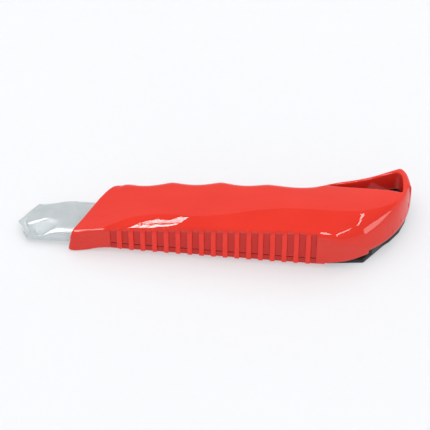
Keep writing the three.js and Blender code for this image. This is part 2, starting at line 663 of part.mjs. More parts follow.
// A blade with its tip at the given X and its lower face at the given height.
function snapBlade(tipX, bottom) {
  const half = BLADE_WIDTH / 2;
  const top = bottom + BLADE_THICKNESS;
  const middle = (bottom + top) / 2;
  const lean = BLADE_WIDTH / Math.tan(THREE.MathUtils.degToRad(BLADE_RAKE));
  const tail = tipX + BLADE_LENGTH;
  const plan = uprightPrism([
    [tipX, half], [tipX + lean, -half], [tail - TAIL_CROP, -half], [tail, -half + TAIL_CROP],
    [tail, half - TAIL_CROP], [tail - TAIL_CROP, half],
  ], BELOW, FAR_AWAY);
  let blade = lengthPrism([
    [-half, bottom], [half - BLADE_BEVEL, bottom], [half, middle - BLADE_EDGE / 2],
    [half, middle + BLADE_EDGE / 2], [half - BLADE_BEVEL, top], [-half, top],
  ], tipX - 1, tail + 1).intersect(plan);
  blade = blade.subtract(post(tail - TANG_HOLE_INSET, 0, TANG_HOLE_RADIUS, BELOW, FAR_AWAY, 20));
  const pitch = (BLADE_LENGTH - lean - TANG_HOLE_INSET - TAIL_CROP) / (SNAP_SEGMENTS - 1);
  for (let k = 1; k < SNAP_SEGMENTS; k += 1) {
    const x = tipX + k * pitch;
    blade = blade.subtract(uprightPrism([
      [x - SNAP_WIDTH / 2, half + 0.01], [x + lean - SNAP_WIDTH / 2, -half - 0.01],
      [x + lean + SNAP_WIDTH / 2, -half - 0.01], [x + SNAP_WIDTH / 2, half + 0.01],
    ], top - SNAP_DEPTH, FAR_AWAY));
  }
  return blade;
}

// A bowed strip of spring steel that spans x0 to x1 and rises from low to high.
function bowedStrip(x0, x1, low, high, thickness, halfWidth) {
  const upper = [];
  const lower = [];
  const steps = 12;
  for (let k = 0; k <= steps; k += 1) {
    const u = k / steps;
    const z = low + thickness + (high - low - thickness) * Math.sin(Math.PI * u);
    upper.push([x0 + (x1 - x0) * u, z]);
    lower.push([x0 + (x1 - x0) * u, z - thickness]);
  }
  return sidePrism([...lower, ...upper.reverse()], -halfWidth, halfWidth);
}

function magazineSpring() {
  const start = BLADE_TIP_X + SPARE_SETBACK + 8;
  return bowedStrip(
    start, bladeTailX, stackTop + FIT_GAP, guideInnerTop - FIT_GAP, 0.25, BLADE_WIDTH / 4);
}

// ---------------------------------------------------------------- slider and lock

function bladeCarrier() {
  const wingFront = bladeTailX + 1.5;
  const slide = box(padFront - 1, carrierRear, -carrierHalf, carrierHalf, carrierBottom, lipTop);
  const wings = box(wingFront, carrierRear, -BLADE_WIDTH / 2, BLADE_WIDTH / 2, bladeBottom, bladeTop);
  const block = box(wingFront, carrierRear, -carrierHalf, carrierHalf, carrierBottom, bladeTop);
  return slide.add(wings).add(block)
    .subtract(post(tangX, 0, pinStem + PIN_PLAY, BELOW, FAR_AWAY, 16));
}

// The stepped pin that carries the blade by its tang hole.
function carrierPin() {
  const stem = post(tangX, 0, pinStem, GUIDE_BASE, bladeTop, 16);
  return stem.add(post(tangX, 0, TANG_HOLE_RADIUS - 0.4, lipTop + 0.1, bladeTop));
}

function thumbSlider() {
  const front = padFront;
  const half = PAD_WIDTH / 2;
  const chamfer = 0.5;
  let pad = lengthPrism([
    [-half + chamfer, PAD_BOTTOM], [half - chamfer, PAD_BOTTOM], [half, PAD_BOTTOM + chamfer],
    [half, padTop], [-half, padTop], [-half, PAD_BOTTOM + chamfer],
  ], front, front + PAD_LENGTH);
  const pitch = (PAD_LENGTH - 3) / PAD_RIDGES;
  for (let k = 0; k < PAD_RIDGES; k += 1) {
    const x = front + 1.9 + k * pitch;
    pad = pad.subtract(sidePrism(
      [[x, PAD_BOTTOM - 0.1], [x + pitch * 0.7, PAD_BOTTOM - 0.1], [x + pitch * 0.35, PAD_BOTTOM + 0.45]],
      -half - 1, half + 1));
  }
  const tongue = box(front + PAD_LENGTH - 1, rivetX + 2.4, -3.4, 3.4, PAD_BOTTOM + 0.35, padTop);
  return pad.add(tongue).subtract(post(rivetX, 0, RIVET_RADIUS + PIN_PLAY, BELOW, FAR_AWAY, 16));
}

function sliderRivet() {
  return post(rivetX, 0, RIVET_RADIUS, PAD_BOTTOM + 0.4, pawlTop, 16);
}

function lockPawl() {
  const start = pawlStart;
  const half = GUIDE_SLOT / 2 - 0.5;
  const plate = box(start, start + PAWL_LENGTH, -half, half, pawlBottom, pawlTop);
  const tooth = box(
    toothX - 0.6, toothX + 0.6, half - 0.5, GUIDE_SLOT / 2 + 1, lipTop + PAWL_LIFT, pawlTop);
  return plate.add(tooth).subtract(post(rivetX, 0, RIVET_RADIUS + PIN_PLAY, BELOW, FAR_AWAY, 16));
}

// The bowed leaf between the thumb slider and the carrier, which presses the slider outwards.
function lockSpring() {
  const inset = 3;
  const low = padTop + 0.05;
  return bowedStrip(padFront + inset, carrierRear - inset, low, carrierBottom - 0.05, 0.2, 3);
}

// ---------------------------------------------------------------- assembly

const redPlastic = { color: 0xe23428, roughness: 0.22, metalness: 0 };
const blackPlastic = { color: 0x17181b, roughness: 0.5, metalness: 0 };
const sheetSteel = { color: 0xc9cfd2, roughness: 0.32, metalness: 1 };
const bladeSteel = { color: 0xb9bfc4, roughness: 0.25, metalness: 1 };
const springSteel = { color: 0x8d9298, roughness: 0.3, metalness: 1 };
const screwSteel = { color: 0x9ea3a8, roughness: 0.35, metalness: 1 };

const knife = new THREE.Group();

function addPiece(name, solid, look) {
  const mesh = new THREE.Mesh(toGeometry(solid), new THREE.MeshStandardMaterial(look));
  mesh.name = name;
  knife.add(mesh);
}

addPiece('back_shell', backShell(), redPlastic);
addPiece('front_cover', frontCover(), redPlastic);
addPiece('tail_cap', tailCap(), blackPlastic);
addPiece('blade_guide', bladeGuide(), sheetSteel);
addPiece('blade', snapBlade(BLADE_TIP_X, bladeBottom), bladeSteel);
for (let k = 1; k <= SPARE_COUNT; k += 1) {
  const spare = snapBlade(BLADE_TIP_X + SPARE_SETBACK, spareBottom + (k - 1) * layerStep);
  addPiece(`spare_blade_${k}`, spare, bladeSteel);
}
addPiece('magazine_spring', magazineSpring(), springSteel);
addPiece('blade_carrier', bladeCarrier(), screwSteel);
addPiece('carrier_pin', carrierPin(), screwSteel);
addPiece('thumb_slider', thumbSlider(), blackPlastic);
addPiece('slider_rivet', sliderRivet(), screwSteel);
addPiece('lock_pawl', lockPawl(), springSteel);
addPiece('lock_spring', lockSpring(), springSteel);
guidePinPlaces.forEach((x, k) => addPiece(`guide_pin_${k + 1}`, guidePin(x), screwSteel));
screwPlaces.forEach((x, k) => addPiece(`cover_screw_${k + 1}`, coverScrew(x), screwSteel));

const bounds = new THREE.Box3().setFromObject(knife);
knife.position.set(-(bounds.min.x + bounds.max.x) / 2, -(bounds.min.y + bounds.max.y) / 2, -bounds.min.z);

export default knife;
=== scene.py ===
import math

import bpy
import numpy as np
from mathutils import Matrix, Vector


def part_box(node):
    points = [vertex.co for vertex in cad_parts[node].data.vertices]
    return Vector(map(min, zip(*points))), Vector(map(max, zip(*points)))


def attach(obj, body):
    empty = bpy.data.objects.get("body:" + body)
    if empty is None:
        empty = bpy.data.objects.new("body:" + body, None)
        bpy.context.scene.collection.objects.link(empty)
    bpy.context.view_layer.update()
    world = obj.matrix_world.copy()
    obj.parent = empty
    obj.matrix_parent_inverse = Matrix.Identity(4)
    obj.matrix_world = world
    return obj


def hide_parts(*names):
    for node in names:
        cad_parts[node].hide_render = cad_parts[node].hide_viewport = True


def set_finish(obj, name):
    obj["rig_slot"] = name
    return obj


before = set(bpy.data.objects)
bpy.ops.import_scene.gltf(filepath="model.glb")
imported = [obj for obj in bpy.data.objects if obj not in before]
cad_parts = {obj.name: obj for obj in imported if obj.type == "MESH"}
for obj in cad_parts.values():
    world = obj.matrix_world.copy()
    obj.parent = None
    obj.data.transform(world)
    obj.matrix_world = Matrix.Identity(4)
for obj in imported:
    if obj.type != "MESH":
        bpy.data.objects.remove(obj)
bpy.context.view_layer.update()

MM = 0.001

# The design's own origin: X = 0 at the nose, Y = 0 on the blade's centre line, Z = 0 on the table.
guide_low, guide_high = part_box("blade_guide")
ORIGIN = Vector((guide_low[0], (guide_low[1] + guide_high[1]) / 2, 0.0))


def place(x, y, z):
    """A point of the design, in millimetres, as a place in the frame, in metres."""
    return ORIGIN + Vector((x, y, z)) * MM


def make_camera():
    """The photograph's view, from above the ribbed side, with the target in the frame's middle."""
    azimuth, elevation, distance = math.radians(6.3), math.radians(44.0), 750.0
    target = place(84.0, 6.5, 8.5)
    pixels_per_mm, frame_width = 2.34, 430.0
    level = math.cos(elevation)
    back = Vector((math.sin(azimuth) * level, -math.cos(azimuth) * level, math.sin(elevation)))
    data = bpy.data.cameras.new("camera")
    data.sensor_width = 36.0
    data.lens = pixels_per_mm * distance * data.sensor_width / frame_width
    camera = bpy.data.objects.new("camera", data)
    bpy.context.scene.collection.objects.link(camera)
    camera.location = target + back * distance * MM
    camera.rotation_euler = back.to_track_quat("Z", "Y").to_euler()
    data.clip_start, data.clip_end = 0.01, 20.0
    bpy.context.scene.camera = camera


make_camera()

# ---------------------------------------------------------------- meshes from fields
# The moulded pieces are drawn as fields: functions of a point that are negative inside the piece,
# and near its surface give about the distance to it. Millimetres throughout. Each takes the place
# as x, y and z, and the plan maps' values there as m.


def fillet(a, b, radius):
    """The larger of two fields, with the edge where they meet rounded."""
    a, b = a + radius, b + radius
    return np.minimum(np.maximum(a, b), 0) + np.hypot(np.maximum(a, 0), np.maximum(b, 0)) - radius


def cut(body, hole, radius=0.0):
    """The body without the hole, with the hole's edge rounded."""
    return fillet(body, -hole, radius) if radius else np.maximum(body, -hole)


def curve_through(pairs, x):
    """Smooth interpolation through (position, value) pairs, flat beyond the ends."""
    px, pv = (np.array(c, float) for c in zip(*pairs))
    slope = np.zeros(len(px))
    for k in range(len(px)):
        a, b = max(k - 1, 0), min(k + 1, len(px) - 1)
        slope[k] = (pv[b] - pv[a]) / (px[b] - px[a])
    x = np.clip(np.asarray(x, float), px[0], px[-1])
    k = np.clip(np.searchsorted(px, x, side="left"), 1, len(px) - 1)
    span = px[k] - px[k - 1]
    u = (x - px[k - 1]) / span
    return (pv[k - 1] + (pv[k] - pv[k - 1]) * u * u * (3 - 2 * u)
            + u * (1 - u) ** 2 * span * slope[k - 1] + u * u * (u - 1) * span * slope[k])


def smooth(x, a, b):
    """An even step from 0 at a to 1 at b."""
    u = np.clip((x - a) / (b - a), 0, 1)
    return u * u * (3 - 2 * u)


def spline(points, count):
    """Points along the same uniform Catmull-Rom spline as the CAD uses."""
    p = np.array(points, float)
    t = np.linspace(0, len(p) - 1, count)
    k = np.minimum(t.astype(int), len(p) - 2)
    u = (t - k)[:, None]
    a, b, c, d = (p[np.clip(k + j, 0, len(p) - 1)] for j in (-1, 0, 1, 2))
    v0, v1 = (c - a) / 2, (d - b) / 2
    return (2 * b - 2 * c + v0 + v1) * u ** 3 + (-3 * b + 3 * c - 2 * v0 - v1) * u ** 2 + v0 * u + b


def outline_distance(x, y, outline, closed=True):
    """Distance to an outline, negative inside a closed one."""
    p = np.array(outline, float)
    q = np.roll(p, -1, axis=0) if closed else p[1:]
    p = p if closed else p[:-1]
    best = np.full(x.shape, 1e9)
    inside = np.zeros(x.shape, bool)
    for (ax, ay), (bx, by) in zip(p, q):
        dx, dy = bx - ax, by - ay
        t = np.clip(((x - ax) * dx + (y - ay) * dy) / max(dx * dx + dy * dy, 1e-12), 0, 1)
        best = np.minimum(best, (x - ax - t * dx) ** 2 + (y - ay - t * dy) ** 2)
        if closed and abs(dy) > 1e-12:
            inside ^= ((ay > y) != (by > y)) & (x < ax + (y - ay) * dx / dy)
    best = np.sqrt(best)
    return np.where(inside, -best, best) if closed else best


class Maps:
    """Plan maps on an even grid, read anywhere by cubic interpolation."""

    def __init__(self, x0, x1, y0, y1, step):
        self.x0, self.y0, self.step = x0, y0, step
        xs = np.arange(x0, x1 + step, step)
        ys = np.arange(y0, y1 + step, step)
        self.x, self.y = np.meshgrid(xs, ys, indexing="ij")
        self.names, self.layers = [], []

    def add(self, name, values):
        self.names.append(name)
        self.layers.append(values)

    def read(self, x, y):
        stack = np.stack(self.layers, axis=-1)
        nx, ny = stack.shape[:2]
        gx = np.clip((x - self.x0) / self.step, 1, nx - 2.001)
        gy = np.clip((y - self.y0) / self.step, 1, ny - 2.001)
        ix, iy = gx.astype(int), gy.astype(int)
        out = 0
        for a, wa in enumerate(cubic_weights(gx - ix)):
            for b, wb in enumerate(cubic_weights(gy - iy)):
                out = out + (wa * wb)[..., None] * stack[ix + a - 1, iy + b - 1]
        return {name: out[..., k] for k, name in enumerate(self.names)}


def cubic_weights(u):
    """The weights of the four samples around a place, which is u past the second of them."""
    return (-0.5 * u + u ** 2 - 0.5 * u ** 3, 1 - 2.5 * u ** 2 + 1.5 * u ** 3,
            0.5 * u + 2 * u ** 2 - 1.5 * u ** 3, -0.5 * u ** 2 + 0.5 * u ** 3)


def stations(first, *runs):
    """Grid positions from the first, in runs of (end, step)."""
    out = [first]
    for end, step in runs:
        count = max(1, round((end - out[-1]) / step))
        start = out[-1]
        out.extend(start + (end - start) * k / count for k in range(1, count + 1))
    return np.array(out, float)


FILLED = 1e-4                    # how far inside the piece a filled corner is taken to be
FILL_ROUNDS = 8


def without_saddles(values):
    """Fills the grid faces whose corners alternate in sign, which would pinch the mesh."""
    values = np.array(values)
    for _ in range(FILL_ROUNDS):
        filled = 0
        for flat in range(3):
            u, v = [axis for axis in range(3) if axis != flat]

            def corner(a, b):
                part = [slice(None)] * 3
                part[u] = slice(1, None) if a else slice(0, -1)
                part[v] = slice(1, None) if b else slice(0, -1)
                return values[tuple(part)]

            for a, b in ((0, 0), (0, 1)):
                one, two = corner(a, b), corner(1 - a, 1 - b)
                other = (corner(1 - a, b) < 0) & (corner(a, 1 - b) < 0)
                pinched = (one >= 0) & (two >= 0) & other
                filled += int(pinched.sum())
                one[pinched & (one <= two)] = -FILLED
                two[pinched & (one > two)] = -FILLED
        if not filled:
            break
    return values


def surface_net(values, xs, ys, zs):
    """A closed quad mesh where the sampled field changes sign."""
    values = without_saddles(values)
    inside = values < 0
    halves = (slice(0, -1), slice(1, None))
    total = sum(inside[a, b, c].astype(np.int8) for a in halves for b in halves for c in halves)
    active = (total > 0) & (total < 8)
    index = np.full(active.shape, -1, np.int64)
    index[active] = np.arange(active.sum())
    ci, cj, ck = np.nonzero(active)
    points = np.zeros((len(ci), 3))
    count = np.zeros(len(ci))
    corners = [(a, b, c) for a in (0, 1) for b in (0, 1) for c in (0, 1)]
    for p in corners:
        for axis in range(3):
            if p[axis]:
                continue
            q = tuple(v + (k == axis) for k, v in enumerate(p))
            fp = values[ci + p[0], cj + p[1], ck + p[2]]
            fq = values[ci + q[0], cj + q[1], ck + q[2]]
            crossed = (fp < 0) != (fq < 0)
            t = np.where(crossed, fp / np.where(crossed, fp - fq, 1), 0)
            pp = np.stack([xs[ci + p[0]], ys[cj + p[1]], zs[ck + p[2]]], 1)
            qq = np.stack([xs[ci + q[0]], ys[cj + q[1]], zs[ck + q[2]]], 1)
            points += np.where(crossed[:, None], pp + t[:, None] * (qq - pp), 0)
            count += crossed
    points /= count[:, None]
    quads = []
    around = {0: ((0, 0, 0), (0, 1, 0), (0, 1, 1), (0, 0, 1)),
              1: ((0, 0, 0), (0, 0, 1), (1, 0, 1), (1, 0, 0)),
              2: ((0, 0, 0), (1, 0, 0), (1, 1, 0), (0, 1, 0))}
    for axis, ring in around.items():
        low = [slice(1, -1)] * 3
        high = [slice(1, -1)] * 3
        low[axis], high[axis] = slice(0, -1), slice(1, None)
        s0, s1 = inside[tuple(low)], inside[tuple(high)]
        where = np.nonzero(s0 != s1)
        quad = np.stack([index[tuple(w + r for w, r in zip(where, corner))] for corner in ring], 1)
        flip = s1[where]
        quad[flip] = quad[flip][:, ::-1]
        quads.append(quad)
    return points, np.concatenate(quads)


def settle(points, field):
    """Moves the points onto the field's own surface, in two short and guarded steps."""
    step, least_slope, furthest = 0.01, 0.3, 0.25
    for _ in range(2):
        value = field(points)
        slope = np.stack([(field(points + shift) - value) / step for shift in step * np.eye(3)], 1)
        move = value / np.maximum((slope ** 2).sum(1), least_slope)
        points = points - np.clip(move, -furthest, furthest)[:, None] * slope
    return points


def new_mesh(name, points, faces):
    """A smooth mesh object from points in design millimetres and faces, all of one size."""
    faces = np.asarray(faces)
    sides = faces.shape[1]
    mesh = bpy.data.meshes.new(name)
    mesh.vertices.add(len(points))
    world = np.asarray(points) * MM + np.array(ORIGIN)
    mesh.vertices.foreach_set("co", world.astype(np.float32).ravel())
    mesh.loops.add(faces.size)
    mesh.loops.foreach_set("vertex_index", faces.astype(np.int32).ravel())
    mesh.polygons.add(len(faces))
    mesh.polygons.foreach_set("loop_start", np.arange(0, faces.size, sides, dtype=np.int32))
    mesh.polygons.foreach_set("use_smooth", np.ones(len(faces), bool))
    mesh.update(calc_edges=True)
    mesh.validate()
    obj = bpy.data.objects.new(name, mesh)
    bpy.context.scene.collection.objects.link(obj)
    return obj


def field_mesh(name, field, xs, ys, zs):
    """A mesh object of a field's surface, sampled at the given grid positions."""
    gx, gy, gz = xs[:, None, None], ys[None, :, None], zs[None, None, :]
    maps = PLAN_MAPS.read(*np.meshgrid(xs, ys, indexing="ij"))
    values = field(gx, gy, gz, {k: v[:, :, None] for k, v in maps.items()})
    points, quads = surface_net(np.broadcast_to(values, (len(xs), len(ys), len(zs))), xs, ys, zs)

    def at(p):
        return field(p[:, 0], p[:, 1], p[:, 2], PLAN_MAPS.read(p[:, 0], p[:, 1]))

    return new_mesh(name, settle(points, at), quads)


# ---------------------------------------------------------------- handle form, as in the CAD

HANDLE_FRONT, HANDLE_LENGTH, HANDLE_HEIGHT = 24.4, 142.4, 20.7
NEAR_SIDE, FAR_SIDE, LOOP_REACH = -12.1, 20.2, 17.3      # ribbed side, grooved side, loop beyond it
HANDLE_END = HANDLE_FRONT + HANDLE_LENGTH
COVER_END = HANDLE_END - 34.5
TAIL_STEP_X = HANDLE_END - 16.4          # where the shell's lower edge steps up over the cap
CHANNEL_HALF, GUIDE_LENGTH, GUIDE_TOP = 10.4, 131.0, 7.5
ABOVE_GUIDE = GUIDE_TOP + 0.3
WALL, NEAR_WALL, COVER_NEAR_WALL = 1.9, 1.7, 1.0
RIB_DEPTH, FIRST_RIB_X, RIB_COUNT, RIB_PITCH, RIB_WIDTH = 1.0, HANDLE_FRONT + 21.0, 17, 4.984, 2.2
HOLE_NEAR_Y = 19.9
BOSS_RADIUS, SCREW_BORE, PIN_BORE = 3.0, 1.6, 1.4
SCREW_BORE_TOP, PIN_BORE_TOP = 10.6, 11.8
SCREW_Y = 14.3
SLOT_START, SLOT_END, SLOT_HALF = 35.9, 126.1, 7.0
COVER_LOW, COVER_FLOOR, COVER_HIGH = 1.0, 2.8, 4.5       # outer face, inner face, rim
CAP_PLATE_TOP, CAP_BLOCK_LOW, CAP_TOP, CAP_FLOOR = 2.6, 2.3, 5.7, 1.8


def handle_x(share):
    return HANDLE_FRONT + share * HANDLE_LENGTH


def handle_share(x):
    return (x - HANDLE_FRONT) / HANDLE_LENGTH


SCREW_X = [handle_x(s) for s in (0.165, 0.417, 0.655)]
GUIDE_PIN_X = [67.4, 96.2, 125.0]
WEB_X = [handle_x(s) + 0.6 for s in (0.11, 0.29, 0.50, 0.71)]

# The plan as pairs of points that cross-section lines join. Each row has the point on the near
# side, as a share of the length and an offset from NEAR_SIDE, and the one on the far side, as a
# share of the length and an offset from FAR_SIDE in shares of LOOP_REACH.
PLAN = [
    (0.000, -0.5, 0.066, -0.655), (0.008, -0.6, 0.086, -0.375), (0.029, -0.4, 0.113, -0.150),
    (0.060, -0.1, 0.144, -0.035), (0.123, 0.0, 0.186, -0.023), (0.214, 0.0, 0.249, -0.006),
    (0.354, 0.0, 0.368, 0.023), (0.529, 0.0, 0.529, 0.023), (0.670, 0.0, 0.656, -0.058),
    (0.754, 0.3, 0.740, 0.100), (0.817, 1.8, 0.817, 0.335), (0.873, 5.5, 0.880, 0.590),
    (0.925, 11.9, 0.939, 0.890), (0.964, 19.5, 0.964, 1.000), (0.987, 27.1, 0.982, 0.870),
    (0.997, 33.0, 0.993, 0.610), (1.000, 36.9, 0.999, 0.375)]
LINE_POINTS = 241
LOOP_TIP = (LINE_POINTS - 1) * 13 // 16          # the far line's point where the loop turns back

near_line = spline([(handle_x(a), NEAR_SIDE + b) for a, b, _, _ in PLAN], LINE_POINTS)
far_line = spline([(handle_x(c), FAR_SIDE + d * LOOP_REACH) for _, _, c, d in PLAN], LINE_POINTS)
GROOVE_COUNT, GROOVES_START, GROOVE_LENGTH, GROOVE_DEPTH = 3, 18.6, 21.1, 1.7
turn = (far_line[:, 0] - HANDLE_FRONT - GROOVES_START) / GROOVE_LENGTH
in_grooves = (turn > 0) & (turn < GROOVE_COUNT)
far_line[:, 1] -= np.where(in_grooves, GROOVE_DEPTH * np.abs(np.sin(np.pi * turn)) ** 1.3, 0)

# The top's height along the ribbed wall, the crown and the far side, in shares of the length and of
# the handle's height.
WALL_TOP = [(0, .35), (.03, .46), (.075, .57), (.145, .625), (.285, .723), (.425, .807),
            (.565, .875), (.705, .93), (.78, .80), (.85, .60), (.92, .48), (1, .46)]
CROWN_TOP = [(0, .49), (.075, .60), (.145, .69), (.285, .80), (.425, .885), (.565, .95),
             (.705, 1.0), (.81, .99), (.88, .95), (.95, .87), (1, .77)]
FAR_TOP = [(.06, .53), (.13, .62), (.28, .735), (.43, .82), (.57, .88), (.66, .895), (.74, .87),
           (.80, .82), (.88, .775), (.95, .75), (1, .71)]
# Width of the roll along the ribbed side, which ends in a soft wavy crease.
ROLL = [(24, 2.6), (31, 3.6), (45, 7.6), (61, 9.6), (75, 7.9), (88, 9.0), (104, 12.8), (120, 14.5),
        (140, 13.0), (155, 10.0), (167, 6.0)]
ROLL_POWER, FAR_FALL_POWER = 1.9, 1.6
CHIN = 0.9                       # how far the front corner swells out at its foot
# The shell's lower edge: its height above the table along the length.
UNDERSIDE = [(0, .15), (.02, 0), (.05, .5), (.08, 1.7), (.11, 2.4), (.14, 2.3), (.165, 1.95),
             (.705, 1.95), (.775, 3.0), (.83, 3.6), (.885, 4.3)]
TAIL_UNDERSIDE = 6.0


def height(pairs, share):
    return curve_through(pairs, share) * HANDLE_HEIGHT


def blurred(values):
    """Each row of samples averaged with its neighbours, apart from the first and the last."""
    middle = (values[:-2] + 2 * values[1:-1] + values[2:]) / 4
    return np.concatenate([values[:1], middle, values[-1:]])


def section_at(x, y):
    """Which cross-section line each place lies on, with shares between two lines."""
    section = np.full(x.shape, LINE_POINTS - 1.0)
    known = np.zeros(x.shape, bool)
    for k, (a, b) in enumerate(zip(near_line, far_line)):
        side = (b[0] - a[0]) * (y - a[1]) - (b[1] - a[1]) * (x - a[0])
        side = side / np.hypot(*(b - a))
        if k == 0:
            found, position = side >= 0, 0.0
        else:
            found = (before < 0) & (side >= 0) & ~known
            position = k - 1 + before / np.where(found, before - side, 1)
        section = np.where(found, position, section)
        known |= found
        before = side
    return section


def plan_maps():
    """The top's height and steepness, and the distances to the outlines, over the whole plan."""
    maps = Maps(HANDLE_FRONT - 4, HANDLE_END + 3, NEAR_SIDE - 3, FAR_SIDE + LOOP_REACH + 3, 0.4)
    x, y = maps.x, maps.y
    section = section_at(x, y)
    k = np.minimum(section.astype(int), LINE_POINTS - 2)
    part = (section - k)[..., None]
    near, far = (line[k] * (1 - part) + line[k + 1] * part for line in (near_line, far_line))
    across = far - near
    width = np.hypot(across[..., 0], across[..., 1])
    run = ((x - near[..., 0]) * across[..., 0] + (y - near[..., 1]) * across[..., 1]) / width
    run = np.clip(run, 0, width)
    near_share, far_share = handle_share(near[..., 0]), handle_share(far[..., 0])
    wall = height(WALL_TOP, near_share)
    crown = np.maximum(height(CROWN_TOP, near_share), wall + 0.2)
    far_edge = height(FAR_TOP, far_share)
    roll = np.minimum(curve_through(ROLL, near[..., 0]), width * 0.5)
    v = np.clip(run / roll, 0, 1)
    w = np.clip((run - roll) / np.maximum(width - roll, 0.1), 0, 1)
    top = wall + (crown - wall) * (1 - (1 - v) ** ROLL_POWER)
    top = top + (far_edge - crown) * w ** FAR_FALL_POWER
    for _ in range(3):
        top = blurred(blurred(top).T).T
    slope = np.hypot(*np.gradient(top, maps.step))
    maps.add("top", top)
    maps.add("steep", np.sqrt(1 + np.minimum(slope, 1.5) ** 2))
    plan = outline_distance(x, y, np.concatenate([near_line, far_line[::-1]]))
    maps.add("plan", plan)
    maps.add("near", near_inset(x, y))
    maps.add("far", np.where(plan < 0, 1, -1) * outline_distance(x, y, far_line, closed=False))
    maps.add("hole", outline_distance(x, y, hanging_hole()))
    maps.add("far_share", far_share)
    return maps


def near_inset(x, y):
    """Distance in from the ribbed side and the tail, negative outside."""
    distance = outline_distance(x, y, near_line, closed=False)
    line_y = np.interp(x, near_line[:, 0], near_line[:, 1])
    return np.where((y > line_y) & (x < HANDLE_END), distance, -distance)


def far_line_y(x):
    """The far line's Y up to the loop's tip."""
    return np.interp(x, far_line[:LOOP_TIP + 1, 0], far_line[:LOOP_TIP + 1, 1])


def rounded(outline, radius, steps):
    """The closed outline with its corners cut to curves of about the given length."""
    out = []
    p = [np.array(v, float) for v in outline]
    for k in range(len(p)):
        a, b, c = p[k - 1], p[k], p[(k + 1) % len(p)]
        r1 = min(radius, np.hypot(*(a - b)) * 0.45)
        r2 = min(radius, np.hypot(*(c - b)) * 0.45)
        s = b + (a - b) / np.hypot(*(a - b)) * r1
        e = b + (c - b) / np.hypot(*(c - b)) * r2
        for j in range(steps + 1):
            u = j / steps
            out.append((1 - u) ** 2 * s + 2 * u * (1 - u) * b + u * u * e)
    return np.array(out)


def hanging_hole():
    """The hole's outline: a flat near side, the rim's inside, and a strip along the far line."""
    rim, strip = 3.4, 2.2
    end = HANDLE_END - rim - 0.5
    start = end - 32.5
    bend = FAR_SIDE + LOOP_REACH - rim
    outline = [(start, HOLE_NEAR_Y), (end, HOLE_NEAR_Y + 0.6), (end + 0.2, HOLE_NEAR_Y + 4.6),
               (end - 0.4, bend - 2.2), (end - 1.5, bend - 0.4), (end - 3.4, bend - 0.3)]
    for share in (0.910, 0.893, 0.875, 0.855, 0.835, 0.815, 0.795, 0.775):
        x = handle_x(share)
        y = float(far_line_y(x)) - strip
        if x > start + 1 and y > HOLE_NEAR_Y + 0.4:
            outline.append((x, y))
    return rounded(outline, 1.3, 6)


PLAN_MAPS = plan_maps()
front_along = far_line[0] - near_line[0]
front_along /= np.hypot(*front_along)


def behind_front(x, y):
    """Distance behind the slanted front."""
    return (x - near_line[0, 0]) * front_along[1] - (y - near_line[0, 1]) * front_along[0]


def post(x, y, cx, cy, radius):
    """An endless upright cylinder."""
    return np.hypot(x - cx, y - cy) - radius


def handle_outside(x, y, z, m):
    """The whole handle's outside, without ribs, hole or insides."""
    loop = smooth(m["far_share"], 0.70, 0.80)
    far_radius = 4.4 - 3.4 * loop
    near_radius = 1.5 + 1.2 * smooth(x, 125, 160)
    radius = np.where(m["far"] < m["near"], far_radius, near_radius)
    front = smooth(behind_front(x, y), 1.0, 5.0)
    radius = 0.55 + (radius - 0.55) * front
    chin = CHIN * (1 - smooth(x, 25, 35)) * (1 - smooth(z, 0.5, 6.5)) * (1 - smooth(y, -10, -7))
    return fillet(m["plan"] - chin, (z - m["top"]) / m["steep"], radius)


RECESS_START = FIRST_RIB_X - 3.9
RECESS_END = FIRST_RIB_X + (RIB_COUNT - 1) * RIB_PITCH + 3.4


def grip_recess(x, z, m):
    """The recess between the ribs: negative inside it."""
    roof = height(WALL_TOP, handle_share(x)) + 0.1
    room = np.maximum(RECESS_START - x, x - RECESS_END)
    room = fillet(room, z - roof, 0.5)
    room = fillet(room, m["near"] - RIB_DEPTH, 0.3)
    k = np.clip(np.round((x - FIRST_RIB_X) / RIB_PITCH), 0, RIB_COUNT - 1)
    off = np.abs(x - FIRST_RIB_X - k * RIB_PITCH)
    return fillet(room, RIB_WIDTH / 2 - off, 0.25)


def shell_cavity(x, y, z, m):
    """The hollow under the shell's top, around the bosses and webs that are left standing in it."""
    walls = np.maximum(NEAR_WALL - m["near"], WALL - m["far"])
    cavity = np.maximum(walls, WALL - behind_front(x, y))
    far_limit = np.interp(x, [handle_x(0.70), handle_x(0.73)], [2 * FAR_SIDE, HOLE_NEAR_Y - WALL])
    cavity = np.maximum(cavity, y - far_limit)
    cavity = fillet(cavity, z - (m["top"] - WALL), 1.0)
    for cx in SCREW_X:
        cavity = np.maximum(cavity, -post(x, y, cx, SCREW_Y, BOSS_RADIUS))
    for cx in GUIDE_PIN_X:
        boss = np.maximum(post(x, y, cx, 0, BOSS_RADIUS), ABOVE_GUIDE - z)
        cavity = np.maximum(cavity, -boss)
    for cx in WEB_X:
        cavity = np.maximum(cavity, -np.maximum(np.abs(x - cx) - 0.6, ABOVE_GUIDE - z))
    return cavity


